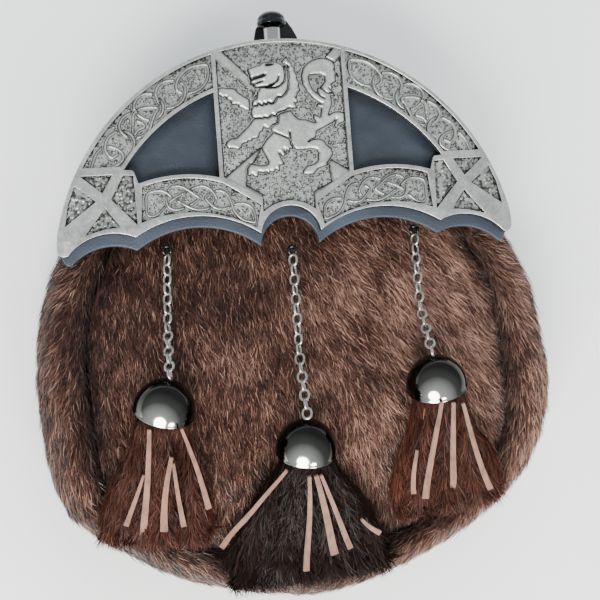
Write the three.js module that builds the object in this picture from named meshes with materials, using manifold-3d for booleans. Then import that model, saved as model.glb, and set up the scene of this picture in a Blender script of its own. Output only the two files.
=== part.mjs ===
// Dress sporran: a fur pouch that closes with a leather flap, and on the flap a cast metal cantle.
// Three chains lie on the fur front, each ending in a domed bell with a tassel of fur strips.
// Millimetres. The sporran lies on its back: +X to its right, +Y towards the cantle, +Z out of its front.
// Every table is measured from the middle of the line between the cantle's two tips; the last lines
// move the whole group, so that its origin is the bottom centre of its bounding box.
import * as THREE from "three";
import { mergeVertices } from "three/addons/utils/BufferGeometryUtils.js";
import Module from "manifold-3d";

const wasm = await Module();
wasm.setup();

// ---------------------------------------------------------------- driving dimensions
const GAP = 0.3; // clearance between neighbouring pieces

// Cantle: one plate under a circular arc, with a scalloped lower edge.
const ARC_RADIUS = 79.4;
const ARC_CENTRE_Y = -8.9;
const TIP_X = 77.7;
const CANTLE_BACK = 32.6;
const CANTLE_BASE = 2.5; // thickness of the sunk floors
const CANTLE_RISE = 1.1; // how far the frame stands above the floors
const BAND_INNER = 67.2; // radii of the upper knot bands
const BAND_OUTER = 77.9;
const WINDOW_RADIUS = 65.8;
const BAR_X = 22.3; // the two upright bars beside the middle panel
const BAR_WIDTH = 1.5;

// Flap: navy leather under the cantle.
const FLAP_BACK = 30.3;
const FLAP_THICK = 2.0;
const FLAP_INSET = 0.8; // inside the cantle's arc
const HINGE_HALF_WIDTH = 24;
const HINGE_THICK = 2.0;
const HINGE_CENTRE_Y = 54;

// Pouch.
const LIP_THICK = 6.5; // padded back edge of the fur gusset, which lies on the surface
const LIP_WIDTH = 13;
const BACK_PANEL_THICK = 2.0;
const BACK_PANEL_INSET = 6.6;
const FUR_WALL = 4.6; // skin and pile
const MOUTH_STEPS = 10; // straight stretches along the mouth's edge

// Hardware.
const BELL_RADIUS = 10.2;
const BELL_WALL = 0.8;
const BELL_RIM = 0.6; // straight lip below the dome
const BELL_TILT = 30; // degrees that a bell's crown leans out of the front
const LINK_LENGTH = 4.8;
const LINK_WIDTH = 3.8;
const LINK_WIRE = 0.78;
const LINK_PITCH = 3.52;
const CHAIN_CLEARANCE = 2.1; // from the fur to the chain's centre line
const ANCHOR_RADIUS = 1.9;
const ANCHOR_WIRE = 0.9;

// Outline of the gusset seen from the front, from the mouth's left end round to its right end.
// front: height of the roll's crest; band: how wide the roll shows beside the front panel.
const GUSSET = [
  { x: -50, y: 48, front: 22.0, band: 15.0 },
  { x: -66, y: 27, front: 24.5, band: 15.0 },
  { x: -76.5, y: 5, front: 26.8, band: 15.0 },
  { x: -83.8, y: -12, front: 31.0, band: 15.5 },
  { x: -87.5, y: -34, front: 34.5, band: 16.5 },
  { x: -86.5, y: -62, front: 35.5, band: 16.5 },
  { x: -81.8, y: -83, front: 34.0, band: 15.0 },
  { x: -66, y: -97.5, front: 31.0, band: 13.5 },
  { x: -42, y: -111.5, front: 29.0, band: 13.5 },
  { x: 4, y: -120.8, front: 28.0, band: 13.0 },
  { x: 36, y: -113, front: 29.0, band: 13.5 },
  { x: 64, y: -98.5, front: 31.0, band: 13.5 },
  { x: 82.5, y: -80.5, front: 33.5, band: 15.0 },
  { x: 91, y: -57, front: 35.0, band: 18.5 },
  { x: 89.8, y: -32, front: 34.0, band: 18.0 },
  { x: 85.5, y: -10, front: 31.0, band: 16.5 },
  { x: 78, y: 6, front: 26.8, band: 15.5 },
  { x: 66, y: 27, front: 24.5, band: 15.0 },
  { x: 50, y: 48, front: 22.0, band: 15.0 },
];
const GUSSET_STATIONS = 40;

// Height of the front panel's middle line from the surface that the pouch lies on.
const CROWN = [
  { y: 60, height: 21.5 },
  { y: 30, height: 24.5 },
  { y: 8, height: 27.6 },
  { y: -4, height: 29.3 },
  { y: -20, height: 33.2 },
  { y: -42, height: 37.2 },
  { y: -64, height: 38.4 },
  { y: -86, height: 36.0 },
  { y: -104, height: 31.0 },
  { y: -122, height: 27.0 },
];
const PANEL_CENTRE = { x: 0, y: -28 };
const PANEL_RINGS = [0, 0.3, 0.55, 0.75, 0.9, 1];

// The three drops. anchor: where the chain leaves the fur; bell: centre of the bell's rim; turn: degrees
// that the bell's crown turns to the right; fan: half width of the tassel's foot; reach: its length;
// swing: degrees that the tassel points to the right.
const DROPS = [
  { name: "left", anchor: [-41.8, 0.2], bell: [-47.3, -51.5], turn: 13, fan: 18, reach: 40, swing: -6 },
  { name: "middle", anchor: [0.6, -2.6], bell: [-2.2, -68.1], turn: 2, fan: 27, reach: 41, swing: 2 },
  { name: "right", anchor: [44.9, 2.2], bell: [43.5, -50.5], turn: -12, fan: 19, reach: 39, swing: 6 },
];

// ---------------------------------------------------------------- plane curves
const radians = THREE.MathUtils.degToRad;
const vec2 = (x, y) => new THREE.Vector2(x, y);

// Points on the circle through a, b and c, from a to c.
function arcThrough(a, b, c, steps) {
  const d = 2 * (a.x * (b.y - c.y) + b.x * (c.y - a.y) + c.x * (a.y - b.y));
  const [aa, bb, cc] = [a.lengthSq(), b.lengthSq(), c.lengthSq()];
  const centre = vec2(
    (aa * (b.y - c.y) + bb * (c.y - a.y) + cc * (a.y - b.y)) / d,
    (aa * (c.x - b.x) + bb * (a.x - c.x) + cc * (b.x - a.x)) / d,
  );
  const radius = centre.distanceTo(a);
  const angle = (p) => Math.atan2(p.y - centre.y, p.x - centre.x);
  const turn = (from, to) => THREE.MathUtils.euclideanModulo(to - from, 2 * Math.PI);
  const anticlockwise = turn(angle(a), angle(b)) < turn(angle(a), angle(c));
  const sweep = anticlockwise ? turn(angle(a), angle(c)) : -turn(angle(c), angle(a));
  return Array.from({ length: steps + 1 }, (_, i) => {
    const t = angle(a) + (sweep * i) / steps;
    return vec2(centre.x + radius * Math.cos(t), centre.y + radius * Math.sin(t));
  });
}

// Points of the cantle's own circle at a radius, between two angles from the vertical in degrees.
function arcBand(radius, from, to, steps) {
  return Array.from({ length: steps + 1 }, (_, i) => {
    const t = radians(from + ((to - from) * i) / steps);
    return vec2(radius * Math.sin(t), ARC_CENTRE_Y + radius * Math.cos(t));
  });
}

const angleAtX = (radius, x) => THREE.MathUtils.radToDeg(Math.asin(x / radius));
const angleAtY = (radius, y) => THREE.MathUtils.radToDeg(Math.acos((y - ARC_CENTRE_Y) / radius));
const mirror = (points) => points.map((p) => vec2(-p.x, p.y)).reverse();
const shapeOf = (points) => new THREE.Shape(points);

// The scalloped lower edge from the right tip to the left tip. Each scallop is an arc through its two
// cusps and its crown; only the right half is listed.
function scallops({ corner, tip, endCrown, cusp, mainCrown, innerCusp, archCrown }) {
  const right = [
    ...corner,
    ...arcThrough(tip, endCrown, cusp, 7).slice(0, -1),
    ...arcThrough(cusp, mainCrown, innerCusp, 10).slice(0, -1),
  ];
  const arch = arcThrough(innerCusp, archCrown, vec2(-innerCusp.x, innerCusp.y), 14);
  return [...right, ...arch, ...mirror(right)];
}

const CANTLE_EDGE = {
  corner: [vec2(77.95, 4.6), vec2(77.9, 2.2), vec2(77.3, 0.8), vec2(76.1, 0.2)],
  tip: vec2(74.6, 0.4),
  endCrown: vec2(61.5, 7.1),
  cusp: vec2(52.1, 5.4),
  mainCrown: vec2(34, 11.3),
  innerCusp: vec2(10.2, 4.3),
  archCrown: vec2(0, 13.3),
};
const FLAP_EDGE = {
  corner: [vec2(77.1, 4.0), vec2(76.7, 0.6), vec2(75.9, -1.5), vec2(74.9, -2.5)],
  tip: vec2(73.6, -2.6),
  endCrown: vec2(61.0, 3.2),
  cusp: vec2(51.8, 1.3),
  mainCrown: vec2(33, 7.9),
  innerCusp: vec2(9.9, 0.2),
  archCrown: vec2(0, 10.0),
};

// ---------------------------------------------------------------- solids
function geometryOf(positions, triangles) {
  const geometry = new THREE.BufferGeometry();
  geometry.setAttribute("position", new THREE.Float32BufferAttribute(positions, 3));
  geometry.setIndex(triangles);
  return geometry;
}

function manifoldOf(geometry) {
  const bare = geometry.clone();
  bare.deleteAttribute("normal");
  bare.deleteAttribute("uv");
  const merged = mergeVertices(bare, 1e-4);
  return new wasm.Manifold(
    new wasm.Mesh({
      numProp: 3,
      vertProperties: new Float32Array(merged.getAttribute("position").array),
      triVerts: new Uint32Array(merged.index.array),
    }),
  );
}

function geometryFrom(manifold) {
  const mesh = manifold.getMesh();
  return geometryOf(Array.from(mesh.vertProperties), Array.from(mesh.triVerts));
}

const extrude = (shape, low, high) =>
  new THREE.ExtrudeGeometry(shape, { depth: high - low, bevelEnabled: false }).translate(0, 0, low);

// A closed solid through loops of equal length. flat holds one loop's two-dimensional points, from which
// both end caps are cut.
function loft(loops, flat) {
  const count = loops[0].length;
  const positions = loops.flat().flatMap((p) => [p.x, p.y, p.z]);
  const triangles = [];
  for (let i = 0; i + 1 < loops.length; i++) {
    for (let j = 0; j < count; j++) {
      const [a, b] = [i * count + j, i * count + ((j + 1) % count)];
      triangles.push(a, b, b + count, a, b + count, a + count);
    }
  }
  const last = (loops.length - 1) * count;
  const clockwise = THREE.ShapeUtils.isClockWise(flat);
  for (const corners of THREE.ShapeUtils.triangulateShape(flat, [])) {
    const [a, b, c] = clockwise ? corners.reverse() : corners;
    triangles.push(a, c, b, last + a, last + b, last + c);
  }
  return facingOut(geometryOf(positions, triangles));
}

// Turns every face round if the solid's volume comes out negative.
function facingOut(geometry) {
  const p = geometry.getAttribute("position");
  const index = geometry.index.array;
  const [a, b, c] = [new THREE.Vector3(), new THREE.Vector3(), new THREE.Vector3()];
  let volume = 0;
  for (let i = 0; i < index.length; i += 3) {
    a.fromBufferAttribute(p, index[i]);
    b.fromBufferAttribute(p, index[i + 1]);
    c.fromBufferAttribute(p, index[i + 2]);
    volume += a.dot(b.cross(c));
  }
  if (volume < 0) {
    for (let i = 0; i < index.length; i += 3) [index[i], index[i + 1]] = [index[i + 1], index[i]];
  }
  return geometry;
}

// ---------------------------------------------------------------- materials
const metal = (color, roughness) => new THREE.MeshStandardMaterial({ color, roughness, metalness: 1 });
const matte = (color, roughness) => new THREE.MeshStandardMaterial({ color, roughness, metalness: 0 });
const PEWTER = metal(0xa9a9a4, 0.42);
const BLACK_CHROME = metal(0x3a3d3a, 0.1);
const STEEL = metal(0x8c8a84, 0.3);
const NAVY_LEATHER = matte(0x2c3546, 0.5);
const BLACK_LEATHER = matte(0x16171a, 0.55);
const FUR = matte(0x4a2c20, 0.8);
const TASSEL_FUR = matte(0x2e1a14, 0.8);

const sporran = new THREE.Group();
function add(name, geometry, material, parent = sporran) {
  const mesh = new THREE.Mesh(geometry, material);
  mesh.name = name;
  parent.add(mesh);
  return mesh;
}

// ---------------------------------------------------------------- cantle
function cantleOutline() {
  const tipAngle = angleAtX(ARC_RADIUS, TIP_X);
  return [...arcBand(ARC_RADIUS, -tipAngle, tipAngle, 56), ...scallops(CANTLE_EDGE)];
}

// One window for each side, open to the flap's leather.
function windowOutline() {
  const inner = BAR_X + BAR_WIDTH / 2;
  const right = [
    vec2(inner, 24.0),
    ...arcBand(WINDOW_RADIUS, angleAtX(WINDOW_RADIUS, inner), angleAtY(WINDOW_RADIUS, 28), 12),
    vec2(51.2, 27.7),
    ...arcThrough(vec2(50.0, 23.3), vec2(36, 25.6), vec2(inner, 24.0), 8).slice(0, -1),
  ];
  return { right, left: mirror(right) };
}

// The sunk floors, listed for the right half where both halves have one.
function floorOutlines() {
  const inner = BAR_X + BAR_WIDTH / 2;
  const upperBand = [
    ...arcBand(BAND_OUTER, angleAtX(BAND_OUTER, inner), angleAtY(BAND_OUTER, 29.2), 14),
    ...arcBand(BAND_INNER, angleAtY(BAND_INNER, 29.2), angleAtX(BAND_INNER, inner), 12),
  ];
  const lowerBand = [
    ...arcThrough(vec2(49.9, 10.2), vec2(34, 12.8), vec2(11.6, 6.4), 10),
    vec2(9.6, 14.0),
    ...arcThrough(vec2(22.0, 22.0), vec2(36, 24.2), vec2(48.9, 22.0), 8),
  ];
  const endPanels = [
    [vec2(68.9, 26.5), vec2(58.5, 26.5), vec2(62.1, 20.6)],
    [vec2(71.0, 23.4), vec2(64.4, 17.9), vec2(74.8, 10.2), vec2(73.4, 17.4)],
    [vec2(54.9, 26.2), vec2(51.6, 26.0), vec2(51.3, 9.6), vec2(59.3, 18.4)],
    [vec2(61.5, 15.6), vec2(56.9, 9.1), vec2(62.0, 8.7), vec2(68.4, 7.0)],
  ];
  const right = [upperBand, lowerBand, ...endPanels];
  const x = BAR_X - BAR_WIDTH / 2;
  const middle = [
    [vec2(-19.5, 66.8), ...arcBand(BAND_OUTER, -14.2, 14.2, 10), vec2(19.5, 66.8), vec2(0, 46.5)],
    [vec2(-x, 63.8), vec2(-2.5, 46.0), vec2(-x, 25.0)],
    [vec2(x, 63.8), vec2(x, 25.0), vec2(2.5, 46.0)],
    [vec2(-1, 41), vec2(-13.5, 25.5), vec2(-14.0, 20.6), vec2(-9.0, 17.5), vec2(-9.0, 11.6),
      ...arcThrough(vec2(-8.6, 11.8), vec2(0, 15.0), vec2(8.6, 11.8), 6).slice(1, -1),
      vec2(9.0, 11.6), vec2(9.0, 17.5), vec2(15.4, 20.6), vec2(14.4, 27)],
  ];
  return [...right, ...right.map(mirror), ...middle];
}

// The rampant lion's silhouette, raised to the height of the frame.
const LION = [
  [-11.4, 61.2], [-5.2, 63.2], [1.8, 64.8], [5.4, 60.0], [6.4, 53.0], [4.8, 47.2], [7.4, 42.8],
  [11.0, 41.6], [13.2, 46.0], [12.8, 48.6], [8.8, 52.5], [7.2, 57.5], [9.0, 61.5], [13.8, 63.6],
  [18.6, 61.6], [20.4, 57.0], [18.2, 54.2], [18.4, 49.8], [15.4, 50.4], [13.8, 57.0], [10.4, 57.2],
  [10.0, 54.6], [13.2, 50.2], [15.2, 51.0], [17.2, 48.2], [16.0, 44.0], [20.4, 43.6], [20.6, 40.8],
  [18.0, 39.6], [13.8, 39.8], [10.8, 37.4], [15.6, 31.0], [14.2, 26.6], [10.4, 25.8], [9.2, 23.8],
  [6.0, 24.2], [6.6, 26.6], [10.6, 28.0], [10.4, 31.8], [3.2, 32.6], [-1.0, 30.8], [-1.2, 27.4],
  [-4.2, 25.4], [-13.0, 25.0], [-12.6, 28.6], [-7.2, 28.6], [-6.0, 30.4], [-8.0, 34.0],
  [-4.4, 39.0], [-7.6, 39.8], [-13.8, 34.8], [-19.8, 34.8], [-19.2, 37.4], [-14.8, 38.8],
  [-9.8, 43.4], [-10.8, 46.2], [-15.2, 48.8], [-21.6, 52.6], [-20.6, 55.2], [-16.2, 54.8],
  [-11.2, 51.0], [-8.2, 52.2], [-10.6, 56.0], [-11.4, 58.8],
];

function makeCantle() {
  const floorTop = CANTLE_BACK + CANTLE_BASE;
  const frameTop = floorTop + CANTLE_RISE;
  const past = 0.5;
  const cut = (points, low) => manifoldOf(extrude(shapeOf(points), low, frameTop + past));
  const windows = windowOutline();
  const openings = [windows.left, windows.right].map((points) => cut(points, CANTLE_BACK - past));
  const floors = floorOutlines().map((points) => cut(points, floorTop));
  const plate = manifoldOf(extrude(shapeOf(cantleOutline()), CANTLE_BACK, frameTop));
  const framed = [...openings, ...floors].reduce((left, tool) => left.subtract(tool), plate);
  const lion = shapeOf(LION.map(([x, y]) => vec2(x, y)));
  const solid = framed.add(manifoldOf(extrude(lion, floorTop - past, frameTop + 0.1)));
  add("cantle", geometryFrom(solid), PEWTER);
}

// ---------------------------------------------------------------- flap and its hinge
function makeFlap() {
  const radius = ARC_RADIUS - FLAP_INSET;
  const tipAngle = angleAtX(radius, TIP_X - FLAP_INSET);
  const outline = [...arcBand(radius, -tipAngle, tipAngle, 44), ...scallops(FLAP_EDGE)];
  add("flap", extrude(shapeOf(outline), FLAP_BACK, FLAP_BACK + FLAP_THICK), NAVY_LEATHER);
}

// A leather strip that folds from the back panel over the mouth to the back of the flap. Its profile is
// drawn in the Y-Z plane and extruded along X.
function makeHinge() {
  const low = LIP_THICK + GAP + BACK_PANEL_THICK + GAP;
  const high = FLAP_BACK - GAP;
  const outer = (high - low) / 2;
  const middle = (high + low) / 2;
  const fold = (radius, from, to) =>
    Array.from({ length: 11 }, (_, i) => {
      const t = radians(from + ((to - from) * i) / 10);
      return vec2(HINGE_CENTRE_Y + radius * Math.cos(t), middle + radius * Math.sin(t));
    });
  const backLegEnd = 38;
  const frontLegEnd = 46;
  const profile = [
    vec2(backLegEnd, low),
    ...fold(outer, -90, 90),
    vec2(frontLegEnd, high),
    vec2(frontLegEnd, high - HINGE_THICK),
    ...fold(outer - HINGE_THICK, 90, -90),
    vec2(backLegEnd, low + HINGE_THICK),
  ];
  const geometry = extrude(shapeOf(profile), -HINGE_HALF_WIDTH, HINGE_HALF_WIDTH);
  // The profile's own x and y become the group's y and z.
  geometry.applyMatrix4(new THREE.Matrix4().set(0, 0, 1, 0, 1, 0, 0, 0, 0, 1, 0, 0, 0, 0, 0, 1));
  add("flap_hinge", geometry, BLACK_LEATHER);
  return { top: HINGE_CENTRE_Y + outer, middle };
}

// ---------------------------------------------------------------- pouch
// Stations along the gusset: place, inward direction, and the table's columns, all smoothly blended.
function gussetStations() {
  const column = (name) => {
    const points = GUSSET.map((row, i) => new THREE.Vector3(i, row[name], 0));
    return new THREE.CatmullRomCurve3(points, false, "catmullrom", 0.5);
  };
  const route = new THREE.CatmullRomCurve3(
    GUSSET.map((row) => new THREE.Vector3(row.x, row.y, 0)), false, "centripetal");
  const [front, band] = [column("front"), column("band")];
  return Array.from({ length: GUSSET_STATIONS + 1 }, (_, i) => {
    const t = route.getUtoTmapping(i / GUSSET_STATIONS);
    const tangent = route.getTangent(t);
    return {
      place: route.getPoint(t),
      inward: vec2(-tangent.y, tangent.x),
      front: front.getPoint(t).y,
      band: band.getPoint(t).y,
    };
  });
}

const inset = (station, distance, height) =>
  new THREE.Vector3(
    station.place.x + station.inward.x * distance,
    station.place.y + station.inward.y * distance,
    height,
  );

// The gusset's section: a padded roll from the back lip, round the side, over the crest to the seam.
// Each point is its distance inwards from the outline and its height.
function gussetSection({ front, band }) {
  const outside = [
    [LIP_WIDTH, 0], [6.5, 0], [2.4, 1.4], [0.5, 5.0], [0, 0.42 * front], [0.9, 0.68 * front],
    [0.18 * band, 0.86 * front], [0.4 * band, 0.975 * front], [0.6 * band, front],
    [0.82 * band, front - 1.1], [band, front - 3.4],
  ];
  const inside = [
    [band, front - 7.4], [0.78 * band, front - 5.6], [0.55 * band, front - 5.0],
    [Math.max(0.36 * band, 5.6), 0.83 * front - 2], [4.9, 0.64 * front], [4.6, 0.5 * front],
    [4.9, 8.8], [5.3, 7.4], [6.1, LIP_THICK], [LIP_WIDTH, LIP_THICK],
  ];
  return [...outside, ...inside].map(([distance, height]) => vec2(distance, height));
}

function makeGusset(stations) {
  const loops = stations.map((s) => gussetSection(s).map((p) => inset(s, p.x, p.y)));
  furMeshes.push(add("gusset", loft(loops, gussetSection(stations[0])), FUR));
}

const crownCurve = new THREE.CatmullRomCurve3(
  CROWN.map((row) => new THREE.Vector3(row.y, row.height, 0)), false, "centripetal");
const crownPoints = crownCurve.getSpacedPoints(120);
function crownHeight(y) {
  const i = crownPoints.findIndex((p) => p.x <= y);
  if (i <= 0) return crownPoints[i === 0 ? 0 : crownPoints.length - 1].y;
  const [a, b] = [crownPoints[i - 1], crownPoints[i]];
  return THREE.MathUtils.lerp(a.y, b.y, (y - a.x) / (b.x - a.x));
}

// The front panel's edge, from the mouth's left corner round to its right corner, then back along the
// mouth, where it arches up to the panel's full height.
function panelEdge(stations) {
  const around = stations.map((s) => inset(s, s.band + GAP + 0.1, s.front - 3.6));
  const [first, last] = [around[0], around[around.length - 1]];
  const along = Array.from({ length: MOUTH_STEPS - 1 }, (_, i) => {
    const t = (i + 1) / MOUTH_STEPS;
    const p = last.clone().lerp(first, t);
    return p.setZ(THREE.MathUtils.lerp(p.z, crownHeight(p.y), Math.sin(Math.PI * t)));
  });
  return [...around, ...along];
}

const panelHeight = (edge, x, y, r) => THREE.MathUtils.lerp(crownHeight(y), edge.z, r ** 3);

// A pillow-shaped wall: rings shrink from the edge to the centre, once for the outer face and once, a
// wall's thickness lower, for the inner one.
function makeFrontPanel(edge) {
  const positions = [];
  const triangles = [];
  const count = edge.length;
  const face = (thick) => {
    const start = positions.length / 3;
    for (const r of PANEL_RINGS) {
      for (const e of r === 0 ? [edge[0]] : edge) {
        const x = THREE.MathUtils.lerp(PANEL_CENTRE.x, e.x, r);
        const y = THREE.MathUtils.lerp(PANEL_CENTRE.y, e.y, r);
        positions.push(x, y, panelHeight(e, x, y, r) - thick);
      }
    }
    return start;
  };
  const ring = (start, k) => start + 1 + (k - 1) * count;
  const starts = [face(0), face(FUR_WALL)];
  starts.forEach((start, side) => {
    const put = (a, b, c) => triangles.push(...(side === 0 ? [a, b, c] : [a, c, b]));
    for (let j = 0; j < count; j++) {
      const n = (j + 1) % count;
      put(start, ring(start, 1) + j, ring(start, 1) + n);
      for (let k = 1; k + 1 < PANEL_RINGS.length; k++) {
        const [a, b] = [ring(start, k), ring(start, k + 1)];
        put(a + j, b + j, b + n);
        put(a + j, b + n, a + n);
      }
    }
  });
  const rims = starts.map((start) => ring(start, PANEL_RINGS.length - 1));
  for (let j = 0; j < count; j++) {
    const n = (j + 1) % count;
    triangles.push(rims[0] + j, rims[1] + j, rims[1] + n, rims[0] + j, rims[1] + n, rims[0] + n);
  }
  furMeshes.push(add("front_panel", facingOut(geometryOf(positions, triangles)), FUR));
}

// Height of the fur's outer form at a place, over the front panel and the gusset.
const DOWN = new THREE.Vector3(0, 0, -1);
const furMeshes = [];
function furHeight(x, y) {
  const ray = new THREE.Raycaster(new THREE.Vector3(x, y, 100), DOWN);
  const [hit] = ray.intersectObjects(furMeshes);
  return hit ? hit.point.z : 0;
}

// The back panel: leather, inside the gusset's lip, with a round top behind the cantle.
function makeBackPanel(stations) {
  const low = LIP_THICK + GAP;
  const around = stations.map((s) => inset(s, BACK_PANEL_INSET, 0)).map((p) => vec2(p.x, p.y));
  const radius = 74;
  const angle = angleAtX(radius, 46);
  const outline = [...around, ...arcBand(radius, angle, -angle, 14)];
  add("back_panel", extrude(shapeOf(outline), low, low + BACK_PANEL_THICK), BLACK_LEATHER);
}

// Two leather loops on the back, through which the hip strap runs along X.
function makeStrapLoops() {
  const thick = 1.7;
  const [centreX, centreY] = [29, 12];
  const [halfWidth, halfSpan, foot, slope] = [10, 17, 7, 3];
  const top = LIP_THICK;
  const profile = [
    vec2(-halfSpan - foot, top - thick), vec2(-halfSpan - slope, top - thick), vec2(-halfSpan, 0),
    vec2(halfSpan, 0), vec2(halfSpan + slope, top - thick), vec2(halfSpan + foot, top - thick),
    vec2(halfSpan + foot, top), vec2(halfSpan + slope - 1, top), vec2(halfSpan - 1, thick),
    vec2(-halfSpan + 1, thick), vec2(-halfSpan - slope + 1, top), vec2(-halfSpan - foot, top),
  ];
  for (const [name, side] of [["strap_loop_left", -1], ["strap_loop_right", 1]]) {
    const geometry = extrude(shapeOf(profile), -halfWidth, halfWidth);
    geometry.applyMatrix4(new THREE.Matrix4().set(0, 0, 1, 0, 1, 0, 0, 0, 0, 1, 0, 0, 0, 0, 0, 1));
    add(name, geometry, BLACK_LEATHER).position.set(side * centreX, centreY, 0);
  }
}

// ---------------------------------------------------------------- knob on the hinge's fold
function makeKnob({ top, middle }) {
  const foot = top + GAP;
  const [neck, cap] = [2.9, 5.1];
  const [capLow, capTop] = [79.0, 84.2];
  const profile = [
    [0, foot], [4.2, foot], [4.2, foot + 1.2], [neck, foot + 1.6], [neck, capLow - 0.4], [cap - 0.4, capLow],
    [cap, capLow + 0.8], [cap, capLow + 1.7], [cap - 0.5, capLow + 2.1], [cap - 0.4, capLow + 2.6],
    [cap - 1.3, capTop - 1.4], [cap - 2.8, capTop - 0.4], [0, capTop],
  ].map(([radius, height]) => vec2(radius, height));
  add("knob", new THREE.LatheGeometry(profile, 16), BLACK_CHROME).position.set(1.0, 0, middle);

  const low = HINGE_CENTRE_Y + 8.9;
  const tab = [
    vec2(-4.4, low), vec2(12.2, low), vec2(11.0, 76.4), vec2(9.3, 79.8), vec2(7.6, 82.3), vec2(5.3, 84.4),
    vec2(3.0, 85.0), vec2(0.8, 84.4), vec2(-1.8, 82.4), vec2(-3.7, 80.0), vec2(-4.4, 77.0),
  ];
  const tabBack = middle - 8.2;
  add("knob_tab", extrude(shapeOf(tab), tabBack, tabBack + 2.2), BLACK_LEATHER);
}

// ---------------------------------------------------------------- bells, tassels and chains
const UP = new THREE.Vector3(0, 1, 0);

// A bell rests on the fur: it is dropped until the first of its rim and lower points meets the fur.
function bellPose(drop) {
  const [x, y] = drop.bell;
  const tilt = radians(BELL_TILT);
  const turn = radians(drop.turn);
  const flat = Math.cos(tilt);
  const axis = new THREE.Vector3(Math.sin(turn) * flat, Math.cos(turn) * flat, Math.sin(tilt));
  const centre = new THREE.Vector3(x, y, 0);
  const facing = new THREE.Quaternion().setFromUnitVectors(UP, axis);
  const clearances = [-BELL_RIM, 2.5, 5].flatMap((rise) =>
    Array.from({ length: 24 }, (_, i) => {
      const t = (2 * Math.PI * i) / 24;
      const radius = Math.sqrt(BELL_RADIUS ** 2 - rise ** 2);
      const p = new THREE.Vector3(radius * Math.cos(t), rise, radius * Math.sin(t));
      p.applyQuaternion(facing).add(centre);
      return furHeight(p.x, p.y) - p.z;
    }),
  );
  centre.z = Math.max(...clearances) + GAP;
  return { axis, centre };
}

function makeBell(drop, { axis, centre }) {
  const steps = 7;
  const quarter = (radius, from, to) =>
    Array.from({ length: steps + 1 }, (_, i) => {
      const t = radians(from + ((to - from) * i) / steps);
      return vec2(radius * Math.sin(t), radius * Math.cos(t));
    });
  const inner = BELL_RADIUS - BELL_WALL;
  const rim = [vec2(BELL_RADIUS, -BELL_RIM), vec2(inner, -BELL_RIM)];
  const profile = [...quarter(BELL_RADIUS, 0, 90), ...rim, ...quarter(inner, 90, 0)];
  profile[0].x = 0;
  profile[profile.length - 1].x = 0;
  const bell = add(`bell_${drop.name}`, new THREE.LatheGeometry(profile.reverse(), 22), BLACK_CHROME);
  bell.position.copy(centre);
  bell.quaternion.setFromUnitVectors(UP, axis);
}

// The tassel's outer form: a plug inside the bell that opens into a flat fan lying on the fur.
function makeTassel(drop, { axis, centre }) {
  const swing = radians(drop.swing);
  const down = new THREE.Vector3(Math.sin(swing), -Math.cos(swing), 0);
  const across = new THREE.Vector3(-down.y, down.x, 0).negate();
  const onFur = (share, thick) => {
    const p = centre.clone().addScaledVector(down, drop.reach * share);
    const half = drop.fan * share;
    const under = [-1, -0.5, 0, 0.5, 1].map((k) => {
      const place = p.clone().addScaledVector(across, half * k);
      return furHeight(place.x, place.y);
    });
    return p.setZ(Math.max(...under) + thick + 3 * GAP);
  };
  const sections = [
    { at: centre.clone().addScaledVector(axis, 6.4), wide: 4.6, thick: 4.6, lie: 0 },
    { at: centre.clone().addScaledVector(axis, 1.5), wide: 8.2, thick: 7.9, lie: 0.15 },
    { at: centre.clone().addScaledVector(axis, -2.6), wide: 8.8, thick: 6.6, lie: 0.5 },
    { at: onFur(0.3, 5.2), wide: 0.52 * drop.fan, thick: 5.2, lie: 1 },
    { at: onFur(0.55, 4.0), wide: 0.76 * drop.fan, thick: 4.0, lie: 1 },
    { at: onFur(0.8, 3.2), wide: 0.94 * drop.fan, thick: 3.2, lie: 1 },
    { at: onFur(1, 2.0), wide: drop.fan, thick: 2.0, lie: 1 },
  ];
  const sides = 12;
  const thicknessAxis = new THREE.Vector3();
  const loops = sections.map(({ at, wide, thick, lie }) => {
    const along = axis.clone().negate().lerp(down, lie).normalize();
    thicknessAxis.crossVectors(across, along).normalize();
    return Array.from({ length: sides }, (_, i) => {
      const t = (2 * Math.PI * i) / sides;
      const place = at.clone().addScaledVector(across, wide * Math.cos(t));
      return place.addScaledVector(thicknessAxis, thick * Math.sin(t));
    });
  });
  const flat = Array.from({ length: sides }, (_, i) => {
    const t = (2 * Math.PI * i) / sides;
    return vec2(Math.cos(t), Math.sin(t));
  });
  add(`tassel_${drop.name}`, loft(loops, flat), TASSEL_FUR);
}

// One oval link along +Y in the X-Y plane.
function linkGeometry() {
  const [long, across, wire] = [(LINK_LENGTH - LINK_WIRE) / 2, (LINK_WIDTH - LINK_WIRE) / 2, LINK_WIRE / 2];
  const geometry = new THREE.TorusGeometry(1, 1, 5, 10);
  const p = geometry.getAttribute("position");
  const [rings, around] = [5, 10];
  for (let j = 0; j <= rings; j++) {
    for (let i = 0; i <= around; i++) {
      const [u, v] = [(2 * Math.PI * (i % around)) / around, (2 * Math.PI * (j % rings)) / rings];
      p.setXYZ(j * (around + 1) + i, (across + wire * Math.cos(v)) * Math.cos(u),
        (long + wire * Math.cos(v)) * Math.sin(u), wire * Math.sin(v));
    }
  }
  return geometry;
}

// The chain lies on the fur from its anchor, and lifts to the bell's crown over its last stretch.
function chainRoute(drop, { axis, centre }) {
  const crown = centre.clone().addScaledVector(axis, BELL_RADIUS + 4 * GAP);
  const start = new THREE.Vector3(drop.anchor[0], drop.anchor[1], 0);
  const steps = 10;
  const points = Array.from({ length: steps }, (_, i) => {
    const p = start.clone().lerp(crown, i / steps);
    const lift = THREE.MathUtils.smoothstep(i / steps, 0.55, 1.1);
    const resting = furHeight(p.x, p.y) + CHAIN_CLEARANCE;
    return p.setZ(THREE.MathUtils.lerp(resting, crown.z, lift));
  });
  return new THREE.CatmullRomCurve3([...points, crown], false, "centripetal");
}

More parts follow.
